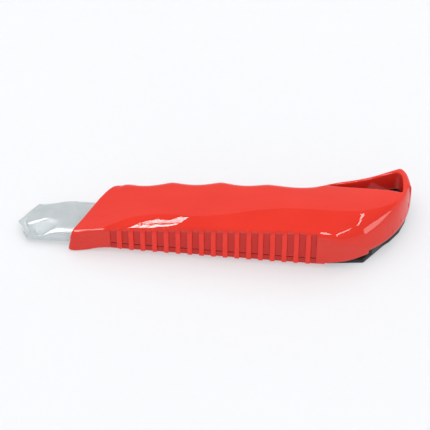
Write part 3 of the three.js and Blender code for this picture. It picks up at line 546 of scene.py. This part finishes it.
def back_shell(x, y, z, m):
    """The red back half, open below, with the guide's channel and a rebate at the near edge."""
    body = handle_outside(x, y, z, m)
    body = cut(body, m["hole"], 0.7)
    body = cut(body, grip_recess(x, z, m), 0.4)
    body = cut(body, shell_cavity(x, y, z, m))
    channel = np.maximum(x - GUIDE_LENGTH - 0.3, z - ABOVE_GUIDE)
    body = cut(body, np.maximum(np.abs(y) - CHANNEL_HALF, channel), 0.3)
    for cx in SCREW_X:
        body = cut(body, np.maximum(post(x, y, cx, SCREW_Y, SCREW_BORE), z - SCREW_BORE_TOP))
    for cx in GUIDE_PIN_X:
        body = cut(body, np.maximum(post(x, y, cx, 0, PIN_BORE), z - PIN_BORE_TOP))
    rim_height = np.where(x > COVER_END, 6.0, 4.8)
    body = cut(body, np.maximum(0.7 - m["near"], z - rim_height), 0.12)
    low = np.where(x > TAIL_STEP_X, TAIL_UNDERSIDE, curve_through(UNDERSIDE, handle_share(x)))
    heel = 0.3 + 0.9 * (1 - smooth(x, 27, 34))
    return fillet(body, low - z, heel)


def front_cover(x, y, z, m):
    """The red half on the slider side: a tray for the guide, whose front edge touches the table."""
    near_edge = -(CHANNEL_HALF + 0.7)
    front = behind_front(x, y)
    bottom = COVER_LOW - smooth(6.6 - front, 0.0, 0.6)
    body = fillet(m["plan"], bottom - z, 0.5)
    body = fillet(body, np.maximum(near_edge - y, COVER_NEAR_WALL - m["near"]), 0.25)
    chamfer = (near_edge - y + COVER_LOW - z + 0.7) * 0.7
    body = fillet(body, chamfer, 0.2)
    body = fillet(body, x - COVER_END, 0.3)
    body = fillet(body, z - COVER_HIGH, 0.12)
    pocket = np.maximum(np.maximum(WALL - m["far"], WALL + 1.5 - front), CHANNEL_HALF + 1.7 - y)
    pocket = fillet(np.maximum(pocket, y - HOLE_NEAR_Y + WALL), COVER_FLOOR - z, 0.4)
    for cx in SCREW_X:
        pocket = np.maximum(pocket, -post(x, y, cx, SCREW_Y, BOSS_RADIUS))
    body = cut(body, pocket)
    body = cut(body, np.maximum(np.abs(y) - CHANNEL_HALF, 1.9 - z), 0.15)
    slot = fillet(np.abs(y) - SLOT_HALF, np.maximum(SLOT_START - x, x - SLOT_END), 0.3)
    body = cut(body, slot, 0.35)
    for cx in SCREW_X:
        body = cut(body, post(x, y, cx, SCREW_Y, SCREW_BORE))
        body = cut(body, np.maximum(post(x, y, cx, SCREW_Y, 2.7), z - COVER_FLOOR), 0.25)
    return body


def inside_near(share, inset):
    """The point inset from the near line, at a share of the line's own points."""
    k = share * (LINE_POINTS - 1)
    j = min(int(k), LINE_POINTS - 2)
    along = near_line[j + 1] - near_line[j]
    p = near_line[j] + along * (k - j)
    along = along / np.hypot(*along)
    return p[0] - along[1] * inset, p[1] + along[0] * inset


def far_or_loop(x):
    """The outline's Y on the far side, round the loop's tip as well."""
    if x <= far_line[LOOP_TIP, 0]:
        return float(far_line_y(x))
    return float(np.interp(x, far_line[LOOP_TIP:, 0], far_line[LOOP_TIP:, 1]))


CAP_START = COVER_END + 0.6
NEAR_AT_STEP = float(np.interp(TAIL_STEP_X, near_line[:, 0], near_line[:, 1]))


def cap_outlines():
    """The outlines of the cap's lower plate, of its upper block and of the pocket in it."""
    far_edge = [(handle_x(s) - 0.6, far_or_loop(handle_x(s)) - 0.6)
                for s in (0.990, 0.979, 0.962, 0.939, 0.900, 0.860, 0.820, 0.790)]
    tail = [inside_near(0.773, 2.4), inside_near(0.797, 1.9), inside_near(0.850, 1.2),
            inside_near(0.91, 1.0), inside_near(0.970, 0.9), *far_edge,
            (CAP_START, float(far_line_y(CAP_START)) - 0.6)]
    corner = TAIL_STEP_X - 1.9
    corner_y = float(np.interp(corner, near_line[:, 0], near_line[:, 1])) - 0.3
    upper_near = NEAR_AT_STEP + RIB_DEPTH
    lower = [(CAP_START, NEAR_SIDE + 2.9), (corner, corner_y), *tail]
    upper = [(CAP_START, upper_near), (TAIL_STEP_X + 1.2, upper_near), *tail]
    step_in = inside_near(0.835, 3.2)
    pocket = [(CAP_START + 1.7, upper_near + 1.7), (TAIL_STEP_X - 0.6, upper_near + 1.7),
              inside_near(0.773, 4.1), step_in, (step_in[0], HOLE_NEAR_Y - 1.7),
              (CAP_START + 1.7, HOLE_NEAR_Y - 1.7)]
    return rounded(lower, 0.5, 3), rounded(upper, 0.8, 3), rounded(pocket, 0.8, 3)


CAP_LOWER, CAP_UPPER, CAP_POCKET = cap_outlines()


def tail_cap(x, y, z, m):
    """The black cap: a chamfered plate with grip lines below, and a block and a tongue on it."""
    flat_x, flat_y = x + 0 * y, y + 0 * x
    lower = outline_distance(flat_x, flat_y, CAP_LOWER)
    body = fillet(lower, z - CAP_PLATE_TOP, 0.2)
    body = fillet(body, (lower + z - CAP_PLATE_TOP + 0.75) * 0.75, 0.15)
    block_ends = np.maximum(CAP_BLOCK_LOW - z, z - CAP_TOP)
    upper = fillet(outline_distance(flat_x, flat_y, CAP_UPPER), block_ends, 0.25)
    body = np.minimum(body, upper)
    body = fillet(body, -z, 0.6)
    body = cut(body, np.maximum(outline_distance(flat_x, flat_y, CAP_POCKET), CAP_FLOOR - z))
    tongue = np.maximum(np.abs(x - CAP_START + 4) - 5, np.abs(y - SCREW_Y) - 1.6)
    body = np.minimum(body, np.maximum(tongue, np.abs(z - 3.7) - 0.6))
    body = cut(body, m["hole"], 0.5)
    for k in range(5):
        grip = fillet(np.abs(x - CAP_START - 5.5 - 2.2 * k) - 0.5, np.abs(y - 5) - 7, 0.4)
        body = cut(body, fillet(grip, z - 0.4, 0.15), 0.15)
    return body


def thumb_slider(x, y, z, m):
    """The ridged pad, with a tongue behind it that the rivet goes through."""
    front, length, half, low, top = 101.5, 16.0, 6.0, 0.35, 1.45
    ridges = 6
    u = np.clip((x - front - 1.5) / ((length - 3) / ridges), 0, ridges)
    ridge = 0.45 * (0.5 - 0.5 * np.cos(2 * np.pi * u)) ** 0.8
    side = fillet(np.abs(y) - half, np.abs(x - front - length / 2) - length / 2, 1.2)
    body = fillet(side, (low + 0.42 - ridge - z) * 0.8, 0.35)
    body = fillet(body, low - z, 0.05)
    body = fillet(body, z - top, 0.12)
    tongue = fillet(np.abs(y) - 3.4, np.abs(x - front - length - 3.4) - 4.4, 0.6)
    tongue = fillet(tongue, np.abs(z - 1.075) - 0.375, 0.12)
    body = np.minimum(body, tongue)
    rivet_x, rivet_bore = 121.9, 1.4
    return cut(body, post(x, y, rivet_x, 0, rivet_bore))


def cover_screw(x, y, z, m):
    """A screw at X = 0 and Y = 0, with a cross recess and threads as rings."""
    head = fillet(post(x, y, 0, 0, 2.4), np.abs(z - 1.9) - 0.6, 0.3)
    thread = 1.15 + 0.15 * np.cos(2 * np.pi * z / 0.9)
    shank = np.maximum(post(x, y, 0, 0, thread), np.abs(z - 6) - 4.3)
    body = np.minimum(head, shank)
    arms = np.minimum(np.maximum(np.abs(x) - 0.35, np.abs(y) - 1.5),
                      np.maximum(np.abs(y) - 0.35, np.abs(x) - 1.5))
    return cut(body, np.maximum(arms, z - 2.0), 0.1)


# ---------------------------------------------------------------- blade guide
# A strip of sheet bent into a channel. Its nose is pressed down, with a leaf-shaped facet on the
# ribbed side and a lip along both slanted edges.

GUIDE_HALF, SHEET, LIP_Z = 10.1, 0.5, 2.2
GUIDE_SLOT_HALF, BEND = 6.0, 0.65
MOUTH_TOP = 4.3
NOSE_TIP_Y = -1.9
NEAR_SQUARE, FAR_SQUARE = 0.845, 0.854   # distance from a slanted edge, as a share of that along X
SLANT_END = 30                   # the station from which the rings stand straight across
NOSE_DROP = 0.5                  # how much lower the side walls reach in front of the handle
BLADE_HALF, BLADE_ROOF = 9.55, 3.52      # the room that the blade slides through
SOFT = 0.03                      # how gently the sheet stays above the blade
NOTCH_X = [125.1 - 5 * k for k in range(14)]
NOTCH_HALF, NOTCH_DEPTH = 0.9, 1.3


def near_slant(y):
    """How far behind the nose's tip its slanted edge lies on the ribbed side."""
    return 5.2 * (NOSE_TIP_Y - y) / 8.2


def far_slant(y):
    """The same on the far side."""
    return 7.3 * (y - NOSE_TIP_Y) / 12.0


def nose_start(y):
    return np.where(y < NOSE_TIP_Y, near_slant(y), far_slant(y))


def guide_stations():
    """Where the channel's rings stand: close together in the nose and at the notches' ends."""
    nose, straight = np.arange(0, 32, 0.3), np.arange(32, GUIDE_LENGTH, 2.5)
    xs = [*nose, *straight, GUIDE_LENGTH]
    inner, outer = NOTCH_HALF - 0.02, NOTCH_HALF + 0.02
    for x in NOTCH_X:
        xs = [v for v in xs if abs(abs(v - x) - NOTCH_HALF) > 0.3]
        xs += [x - outer, x - inner, x + inner, x + outer]
    return sorted(xs)


def guide_contour(station):
    """The sheet's middle line across the channel at one station, as Y and Z, lip to lip."""
    half = GUIDE_HALF - SHEET / 2
    low = LIP_Z + SHEET / 2 - NOSE_DROP * (1 - smooth(station, 14, 22))
    top = float(curve_through(
        [(4, MOUTH_TOP), (9, 5.25), (15, 6.75), (20, 7.4), (24, GUIDE_TOP)], station)) - SHEET / 2
    largest = top - low - BEND - 0.05
    near = min(largest, float(curve_through(
        [(0, .7), (7, .8), (12, 1.9), (17, 3.2), (22, 3.3), (28, 2.6), (40, 1.0)], station)))
    far = min(largest, 0.9)
    notched = any(abs(station - x) < NOTCH_HALF for x in NOTCH_X)
    far_lip = GUIDE_SLOT_HALF + (NOTCH_DEPTH if notched else 0.0)
    out = []

    def arc(cy, cz, radius, start, end, count):
        for k in range(count):
            angle = math.radians(start + (end - start) * (k + 0.5) / count)
            out.append((cy + radius * math.cos(angle), cz + radius * math.sin(angle)))

    def run(p, q, count):
        for k in range(count + 1):
            out.append((p[0] + (q[0] - p[0]) * k / count, p[1] + (q[1] - p[1]) * k / count))

    run((-GUIDE_SLOT_HALF, low), (-half + BEND, low), 5)
    arc(-half + BEND, low + BEND, BEND, 270, 180, 6)
    run((-half, low + BEND), (-half, top - near), 4)
    arc(-half + near, top - near, near, 180, 90, 12)
    run((-half + near, top), (half - far, top), 60)
    arc(half - far, top - far, far, 90, 0, 7)
    run((half, top - far), (half, low + BEND), 4)
    arc(half - BEND, low + BEND, BEND, 0, -90, 6)
    run((half - BEND, low), (far_lip, low), 5)
    return np.array(out)


def pressed(x, y):
    """How far the nose's stamping lowers the top of the sheet."""
    from_far_edge = (x - far_slant(y)) * FAR_SQUARE
    from_near_edge = (x - near_slant(y)) * NEAR_SQUARE
    inset = np.minimum(from_far_edge, from_near_edge)
    lip = 0.34 * (1 - smooth(inset, 1.5, 2.5)) * (1 - smooth(x, 12, 14))
    across = (y + 3.0) - (x - 4.0) * 0.34
    leaf = smooth(-across, -0.25, 0.55) * smooth(from_near_edge, 1.9, 2.7)
    length = (1 - smooth(x + 0.25 * (y + 5) ** 2, 15.0, 18.5)) * smooth(x, 3.5, 5.0)
    fade = 1 - 0.75 * smooth(x, 12, 17)
    leaf = leaf * length * (0.42 * fade + 0.045 * np.clip(-across, 0, 8))
    return lip + leaf


def blade_guide():
    """The channel as rings around the sheet: its outer face, then its inner face back again."""
    rings = []
    for station in guide_stations():
        line = guide_contour(station)
        tangent = np.gradient(line, axis=0)
        tangent /= np.hypot(tangent[:, 0], tangent[:, 1])[:, None]
        normal = np.stack([-tangent[:, 1], tangent[:, 0]], 1)
        outer, inner = line + normal * SHEET / 2, line - normal * SHEET / 2
        ring = np.concatenate([outer, inner[::-1]])
        mid = np.concatenate([line, line[::-1]])
        x = station + nose_start(mid[:, 0]) * max(0.0, 1 - station / SLANT_END)
        upper = smooth(mid[:, 1], LIP_Z + 1.0, MOUTH_TOP - 0.3)
        z = ring[:, 1] - pressed(x, mid[:, 0]) * upper
        roof = np.repeat((BLADE_ROOF + SHEET, BLADE_ROOF), len(line))
        over_blade = (np.abs(mid[:, 0]) < BLADE_HALF) & (mid[:, 1] > LIP_Z + 2 * SHEET)
        z = np.where(over_blade, roof + SOFT * np.logaddexp(0, (z - roof) / SOFT), z)
        rings.append(np.stack([x, ring[:, 0], z], 1))
    size = len(rings[0])
    half = size // 2
    points = np.concatenate(rings)
    faces = []
    for i in range(len(rings) - 1):
        a = i * size + np.arange(size)
        b = i * size + (np.arange(size) + 1) % size
        faces.append(np.stack([a, a + size, b + size, b], 1))
    for ring, order in ((0, -1), (len(rings) - 1, 1)):
        k = np.arange(half - 1)
        end = ring * size + np.stack([k, size - 1 - k, size - 2 - k, k + 1], 1)
        faces.append(end[:, ::order])
    return new_mesh("blade_guide_channel", points, np.concatenate(faces))


# ---------------------------------------------------------------- pieces

PARTS = []


def finished(obj, body, slot, *nodes):
    """Rides the piece on its body and lets it stand for its CAD nodes."""
    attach(obj, body)
    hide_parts(*nodes)
    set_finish(obj, slot)
    PARTS.append(obj)


finished(field_mesh(
    "back_shell_moulding", back_shell,
    stations(22.4, (HANDLE_END + 0.8, 0.46)),
    stations(NEAR_SIDE - 2.1, (-9.5, 0.3), (-6, 0.45), (FAR_SIDE + LOOP_REACH + 0.8, 0.56)),
    stations(-0.45, (21.4, 0.46))), "handle", "red_plastic", "back_shell")
finished(field_mesh(
    "front_cover_moulding", front_cover,
    stations(23.4, (COVER_END + 0.6, 0.5)),
    stations(-11.8, (-9.5, 0.3), (FAR_SIDE + 3.6, 0.5)),
    stations(-0.3, (4.9, 0.2))), "handle", "red_plastic", "front_cover")
finished(field_mesh(
    "tail_cap_moulding", tail_cap,
    stations(CAP_START - 9.6, (CAP_START - 0.6, 0.5), (HANDLE_END, 0.3)),
    stations(NEAR_SIDE + 1.5, (FAR_SIDE + LOOP_REACH - 0.2, 0.35)),
    stations(-0.3, (6.2, 0.24))), "cap", "black_plastic", "tail_cap")
finished(field_mesh(
    "thumb_slider_moulding", thumb_slider,
    stations(101.0, (125.9, 0.18)),
    stations(-6.4, (6.4, 0.3)),
    stations(0.1, (1.8, 0.11))), "slider", "black_plastic", "thumb_slider")
for number, cx in enumerate(SCREW_X, 1):
    screw = field_mesh("cover_screw_turned_%d" % number, cover_screw, stations(-2.8, (2.8, 0.18)),
                       stations(-2.8, (2.8, 0.18)), stations(0.9, (10.8, 0.2)))
    screw.data.transform(Matrix.Translation(Vector((cx, SCREW_Y, 0)) * MM))
    finished(screw, "handle", "plated_steel", "cover_screw_%d" % number)
finished(blade_guide(), "handle", "guide_steel", "blade_guide")


# ---------------------------------------------------------------- materials


class Look:
    """A procedural material: colour, roughness and relief from noise in the piece's own frame."""

    def __init__(self, name, roughness, metallic=0.0, **uniform):
        self.material = bpy.data.materials.new(name)
        self.material.use_nodes = True
        self.nodes = self.material.node_tree.nodes
        self.links = self.material.node_tree.links
        self.shader = self.nodes["Principled BSDF"]
        self.shader.inputs["Metallic"].default_value = metallic
        for socket, value in uniform.items():
            self.shader.inputs[socket].default_value = value
        self.coordinates = self.nodes.new("ShaderNodeTexCoord").outputs["Object"]
        self.roughness = self.map_range(self.noise(300), *roughness)
        self.colour = self.relief = None

    def noise(self, scale, stretch=(1, 1, 1), detail=3.0, turn=0.0):
        mapping = self.nodes.new("ShaderNodeMapping")
        mapping.inputs["Scale"].default_value = stretch
        mapping.inputs["Rotation"].default_value = (0, 0, turn)
        self.links.new(self.coordinates, mapping.inputs["Vector"])
        node = self.nodes.new("ShaderNodeTexNoise")
        node.inputs["Scale"].default_value = scale
        node.inputs["Detail"].default_value = detail
        node.inputs["Roughness"].default_value = 0.55
        self.links.new(mapping.outputs["Vector"], node.inputs["Vector"])
        return node.outputs["Fac"]

    def map_range(self, value, low, high, start=0.3, end=0.7):
        """Low where the value is at the start, high where it is at the end, held beyond them."""
        node = self.nodes.new("ShaderNodeMapRange")
        sockets = ("From Min", "From Max", "To Min", "To Max")
        for socket, number in zip(sockets, (start, end, low, high)):
            node.inputs[socket].default_value = number
        self.links.new(value, node.inputs["Value"])
        return node.outputs["Result"]

    def mix(self, first, second, share):
        """The first colour with a share of the second mixed in."""
        node = self.nodes.new("ShaderNodeMix")
        node.data_type = "RGBA"
        # The colours' sockets are the node's seventh and eighth, and the share's is its first.
        for k, value in ((6, first), (7, second), (0, share)):
            socket = node.inputs[k]
            if isinstance(value, bpy.types.NodeSocket):
                self.links.new(value, socket)
            elif isinstance(value, tuple):
                socket.default_value = (*value, 1.0)
            else:
                socket.default_value = value
        return node.outputs[2]

    def math(self, operation, first, second):
        node = self.nodes.new("ShaderNodeMath")
        node.operation = operation
        for socket, value in zip(node.inputs, (first, second)):
            if isinstance(value, bpy.types.NodeSocket):
                self.links.new(value, socket)
            else:
                socket.default_value = value
        return node.outputs[0]

    def step(self, value, start, end):
        """0 where the value is before the start, 1 where it is past the end, either way round."""
        if start < end:
            return self.map_range(value, 0.0, 1.0, start, end)
        return self.map_range(value, 1.0, 0.0, end, start)

    def edges(self, low, high):
        """0 to 1 as the surface turns from hollow to edge. Pointiness is 0.5 where it is flat."""
        pointiness = self.nodes.new("ShaderNodeNewGeometry").outputs["Pointiness"]
        return self.map_range(pointiness, 0.0, 1.0, low, high)

    def axis(self, name):
        node = self.nodes.new("ShaderNodeSeparateXYZ")
        self.links.new(self.coordinates, node.inputs[0])
        return node.outputs[name]

    def bump(self, height, distance, strength):
        """Adds relief, with its distance in metres."""
        node = self.nodes.new("ShaderNodeBump")
        node.inputs["Distance"].default_value = distance
        node.inputs["Strength"].default_value = strength
        self.links.new(height, node.inputs["Height"])
        self.relief = node.outputs["Normal"]

    def done(self):
        self.links.new(self.colour, self.shader.inputs["Base Color"])
        self.links.new(self.roughness, self.shader.inputs["Roughness"])
        if self.relief is not None:
            self.links.new(self.relief, self.shader.inputs["Normal"])
        return self.material


def rib_shade_and_light_masks(look):
    """Masks for painted shade down in the grip recess and painted light on the ribs' outer faces: 0
    to 1 each.
    """
    half_deep_y, y_blend, blend = NEAR_SIDE + 0.65, 0.15, 0.2
    wall_top, wall_top_x, wall_slope = 11.0, 35.0, 0.0826
    start, end = RECESS_START - 0.1, RECESS_END + 0.056
    x, y, z = (look.axis(name) for name in "XYZ")
    # The wall's top rises along the handle: this is the height as if the wall were level.
    along = look.math("SUBTRACT", x, place(wall_top_x, 0, 0).x)
    level = look.math("SUBTRACT", z, look.math("MULTIPLY", along, wall_slope))
    deep = look.step(y, place(0, half_deep_y - y_blend, 0).y, place(0, half_deep_y + y_blend, 0).y)
    share = 1.0
    for value, outer, inner in (
            (level, (wall_top + blend) * MM, (wall_top - blend) * MM),
            (x, place(start - blend, 0, 0).x, place(start + blend, 0, 0).x),
            (x, place(end + blend, 0, 0).x, place(end - blend, 0, 0).x)):
        share = look.math("MULTIPLY", share, look.step(value, outer, inner))
    shallow = look.math("SUBTRACT", 1.0, deep)
    return look.math("MULTIPLY", share, deep), look.math("MULTIPLY", share, shallow)


def gloss_red():
    """Moulded plastic: faint flow in the colour, painted highlights on edges, painted shade in
    hollows, handling scratches.
    """
    look = Look("gloss_red_plastic", (0.008, 0.018), **{"IOR": 1.41})
    flow = look.map_range(look.noise(26, (1, 2.2, 1.5), 4), 0.0, 1.0)
    look.colour = look.mix((0.680, 0.029, 0.017), (0.735, 0.037, 0.022), flow)
    # Painted highlight: convex edges lighter and more orange, where they would catch the light.
    look.colour = look.mix(look.colour, (0.80, 0.075, 0.050), look.edges(0.62, 0.74))
    # Painted shade: hollows and creases darker.
    look.colour = look.mix((0.40, 0.010, 0.008), look.colour, look.edges(0.38, 0.475))
    recess, faces = rib_shade_and_light_masks(look)
    # Painted shade: the recess floor between the ribs darker.
    look.colour = look.mix(look.colour, (0.57, 0.016, 0.009), recess)
    # Painted light: the ribs' outer faces brighter.
    look.colour = look.mix(look.colour, (0.84, 0.030, 0.014), faces)
    scratches = look.noise(900, (0.12, 1, 1), 2, turn=0.35)
    fine = look.map_range(scratches, 0.0, 0.012, 0.66, 0.78)
    look.roughness = look.math("ADD", look.roughness, fine)
    look.bump(look.noise(38, (1, 1.4, 1), 2), 0.01 * MM, 0.35)
    return look.done()


def matte_black():
    """Moulded plastic with a fine grain, and edges painted greyer as a highlight."""
    look = Look("matte_black_plastic", (0.30, 0.44), **{"Specular IOR Level": 0.3})
    look.colour = look.mix((0.010, 0.010, 0.013), (0.020, 0.021, 0.025),
                           look.map_range(look.noise(90), 0.0, 1.0))
    # Painted highlight: edges greyer, where they would catch the light.
    look.colour = look.mix(look.colour, (0.06, 0.062, 0.068), look.edges(0.53, 0.62))
    look.bump(look.noise(2600, detail=2), 0.02 * MM, 0.5)
    return look.done()


def steel(name, dark, light, roughness, grain, stretch, mottle=120, metallic=1.0):
    """Metal with mottling, brushed lines and hairline scratches."""
    look = Look(name, roughness, metallic)
    look.colour = look.mix(dark, light, look.map_range(look.noise(mottle, detail=5), 0.0, 1.0))
    lines = look.noise(grain, stretch)
    look.roughness = look.math("ADD", look.roughness, look.map_range(lines, -0.05, 0.07))
    hair = look.map_range(look.noise(1500, (0.06, 1, 1), 1, turn=0.5), 0.0, 1.0, 0.66, 0.78)
    look.colour = look.mix(look.colour, light, look.math("MULTIPLY", hair, 0.5))
    look.bump(lines, 0.0015 * MM, 0.6)
    return look


RED, BLACK = gloss_red(), matte_black()
GUIDE_STEEL = steel("guide_sheet_steel", (0.55, 0.60, 0.62), (0.67, 0.71, 0.72), (0.36, 0.46),
                    1400, (0.10, 1, 1), metallic=0.7).done()
SPRING_STEEL = steel("blued_spring_steel", (0.20, 0.24, 0.33), (0.42, 0.44, 0.48), (0.18, 0.30),
                     1600, (0.08, 1, 1)).done()
PLATED = steel("zinc_plate", (0.52, 0.51, 0.46), (0.72, 0.72, 0.70), (0.24, 0.38),
               900, (1, 1, 1), mottle=700).done()


def ground_blade():
    """Blade steel: lengthwise rolled faces, and crosswise grinding on the bevel along the edge."""
    look = steel("ground_blade_steel", (0.42, 0.44, 0.47), (0.58, 0.60, 0.62), (0.16, 0.26), 1500,
                 (0.07, 1, 1))
    y = look.axis("Y")
    bevel = look.step(y, place(0, 7.3, 0).y, place(0, 7.45, 0).y)
    grinding = look.map_range(look.noise(2600, (1, 0.03, 0.3), 2), 0.0, 1.0)
    ground = look.mix((0.60, 0.62, 0.64), (0.82, 0.84, 0.86), grinding)
    look.colour = look.mix(look.colour, ground, bevel)
    return look.done()


BLADE_STEEL = ground_blade()
LOOKS = {"red_plastic": RED, "black_plastic": BLACK, "guide_steel": GUIDE_STEEL,
         "plated_steel": PLATED}
for obj in PARTS:
    obj.data.materials.append(LOOKS[obj["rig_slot"]])
CARRIED_OVER = {
    BLADE_STEEL: ["blade", "spare_blade_1", "spare_blade_2"],
    SPRING_STEEL: ["magazine_spring", "lock_pawl", "lock_spring"],
    PLATED: ["blade_carrier", "carrier_pin", "slider_rivet",
             "guide_pin_1", "guide_pin_2", "guide_pin_3"]}
for look, names in CARRIED_OVER.items():
    for name in names:
        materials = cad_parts[name].data.materials
        materials.clear()
        materials.append(look)

# ---------------------------------------------------------------- studio

FLOOR = [(-3, -3, 0), (3, -3, 0), (3, 3, 0), (-3, 3, 0)]
COOL_WHITE = (0.97, 0.98, 1, 1)

floor = bpy.data.objects.new("floor", bpy.data.meshes.new("floor"))
floor.data.from_pydata(FLOOR, [], [(0, 1, 2, 3)])
bpy.context.scene.collection.objects.link(floor)
paper = Look("white_paper", (0.75, 0.9))
paper.colour = paper.mix((0.415, 0.418, 0.423), (0.422, 0.425, 0.430),
                         paper.map_range(paper.noise(6), 0.0, 1.0))
# Part of the paper's brightness is its own light, which keeps the knife's shadow pale.
paper.shader.inputs["Emission Color"].default_value = COOL_WHITE
paper.shader.inputs["Emission Strength"].default_value = 0.43
floor.data.materials.append(paper.done())


def softbox(name, centre, width, depth, radiance):
    """A rectangular light aimed at the frame's origin, in metres, which no reflection shows."""
    data = bpy.data.lights.new(name, "AREA")
    data.shape = "RECTANGLE"
    data.size, data.size_y = width, depth
    data.energy = radiance * math.pi * width * depth
    obj = bpy.data.objects.new(name, data)
    bpy.context.scene.collection.objects.link(obj)
    obj.location = centre
    obj.rotation_euler = Vector(centre).to_track_quat("Z", "Y").to_euler()
    obj.visible_glossy = False


softbox("key", (0.05, 0.35, 1.45), 2.6, 2.4, 1.03)
softbox("fill", (-0.25, -1.60, 0.80), 1.4, 0.9, 0.55)


def card(name, corners, radiance):
    """A glowing strip that only reflections show, with its corners in metres as pairs across it."""
    obj = bpy.data.objects.new(name, bpy.data.meshes.new(name))
    count = len(corners) // 2
    faces = [(2 * k, 2 * k + 1, 2 * k + 3, 2 * k + 2) for k in range(count - 1)]
    obj.data.from_pydata(corners, [], faces)
    bpy.context.scene.collection.objects.link(obj)
    for kind in ("camera", "diffuse", "transmission", "volume_scatter", "shadow"):
        setattr(obj, "visible_" + kind, False)
    glow = bpy.data.materials.new(name)
    glow.use_nodes = True
    glow.node_tree.nodes.clear()
    shader = glow.node_tree.nodes.new("ShaderNodeEmission")
    shader.inputs["Strength"].default_value = radiance
    output = glow.node_tree.nodes.new("ShaderNodeOutputMaterial")
    glow.node_tree.links.new(shader.outputs[0], output.inputs["Surface"])
    glow.cycles.emission_sampling = "NONE"
    obj.data.materials.append(glow)


CARD_Z = 1.2


def flat_card(name, x0, x1, y0, y1, radiance):
    """A level card above the knife."""
    card(name, [(x, y, CARD_Z) for x in (x0, x1) for y in (y0, y1)], radiance)


def window(name, count, left, pitch, width, y0, y1, radiance):
    """Bright bars side by side, for the highlight on the front of the roll."""
    for k in range(count):
        start = left + pitch * k
        flat_card("%s_%d" % (name, k), start, start + width, y0, y1, radiance)


# A pale wall behind the knife, and a dimmer ceiling that keeps the crown's colour deep.
card("back_card", [(-4, 2, -0.2), (-4, 2, 1.95), (4, 2, -0.2), (4, 2, 1.95)], 0.62)
card("dark_flag", [(-0.8, -3, 1.7), (-0.8, 1.7, 1.7), (4, -3, 1.7), (4, 1.7, 1.7)], 0.22)
window("window_bar", 7, -0.416, 0.0060, 0.0030, 0.54, 0.98, 34.0)
window("window_pane", 3, -0.415, 0.0135, 0.0095, 0.24, 0.49, 28.0)
# The curved highlight at the tail, as X, Y and width along it.
RIBBON = [(0.99, -0.40, 0.02), (0.94, -0.37, 0.035), (0.64, 0.01, 0.05), (0.40, 0.52, 0.06)]
card("tail_ribbon", [(x + d, y, CARD_Z) for x, y, width in RIBBON for d in (0.0, width)], 14.0)
flat_card("front_card", -0.95, -0.50, -0.60, 0.10, 11.0)
card("right_card", [(2.4, -1.1, 0.5), (2.4, -1.1, 1.5), (2.4, 0.1, 0.5), (2.4, 0.1, 0.8)], 5.0)

world = bpy.data.worlds.new("studio")
bpy.context.scene.world = world
world.use_nodes = True
background = world.node_tree.nodes["Background"]
background.inputs["Color"].default_value = COOL_WHITE
background.inputs["Strength"].default_value = 0.80
bpy.context.scene.view_settings.view_transform = "Standard"
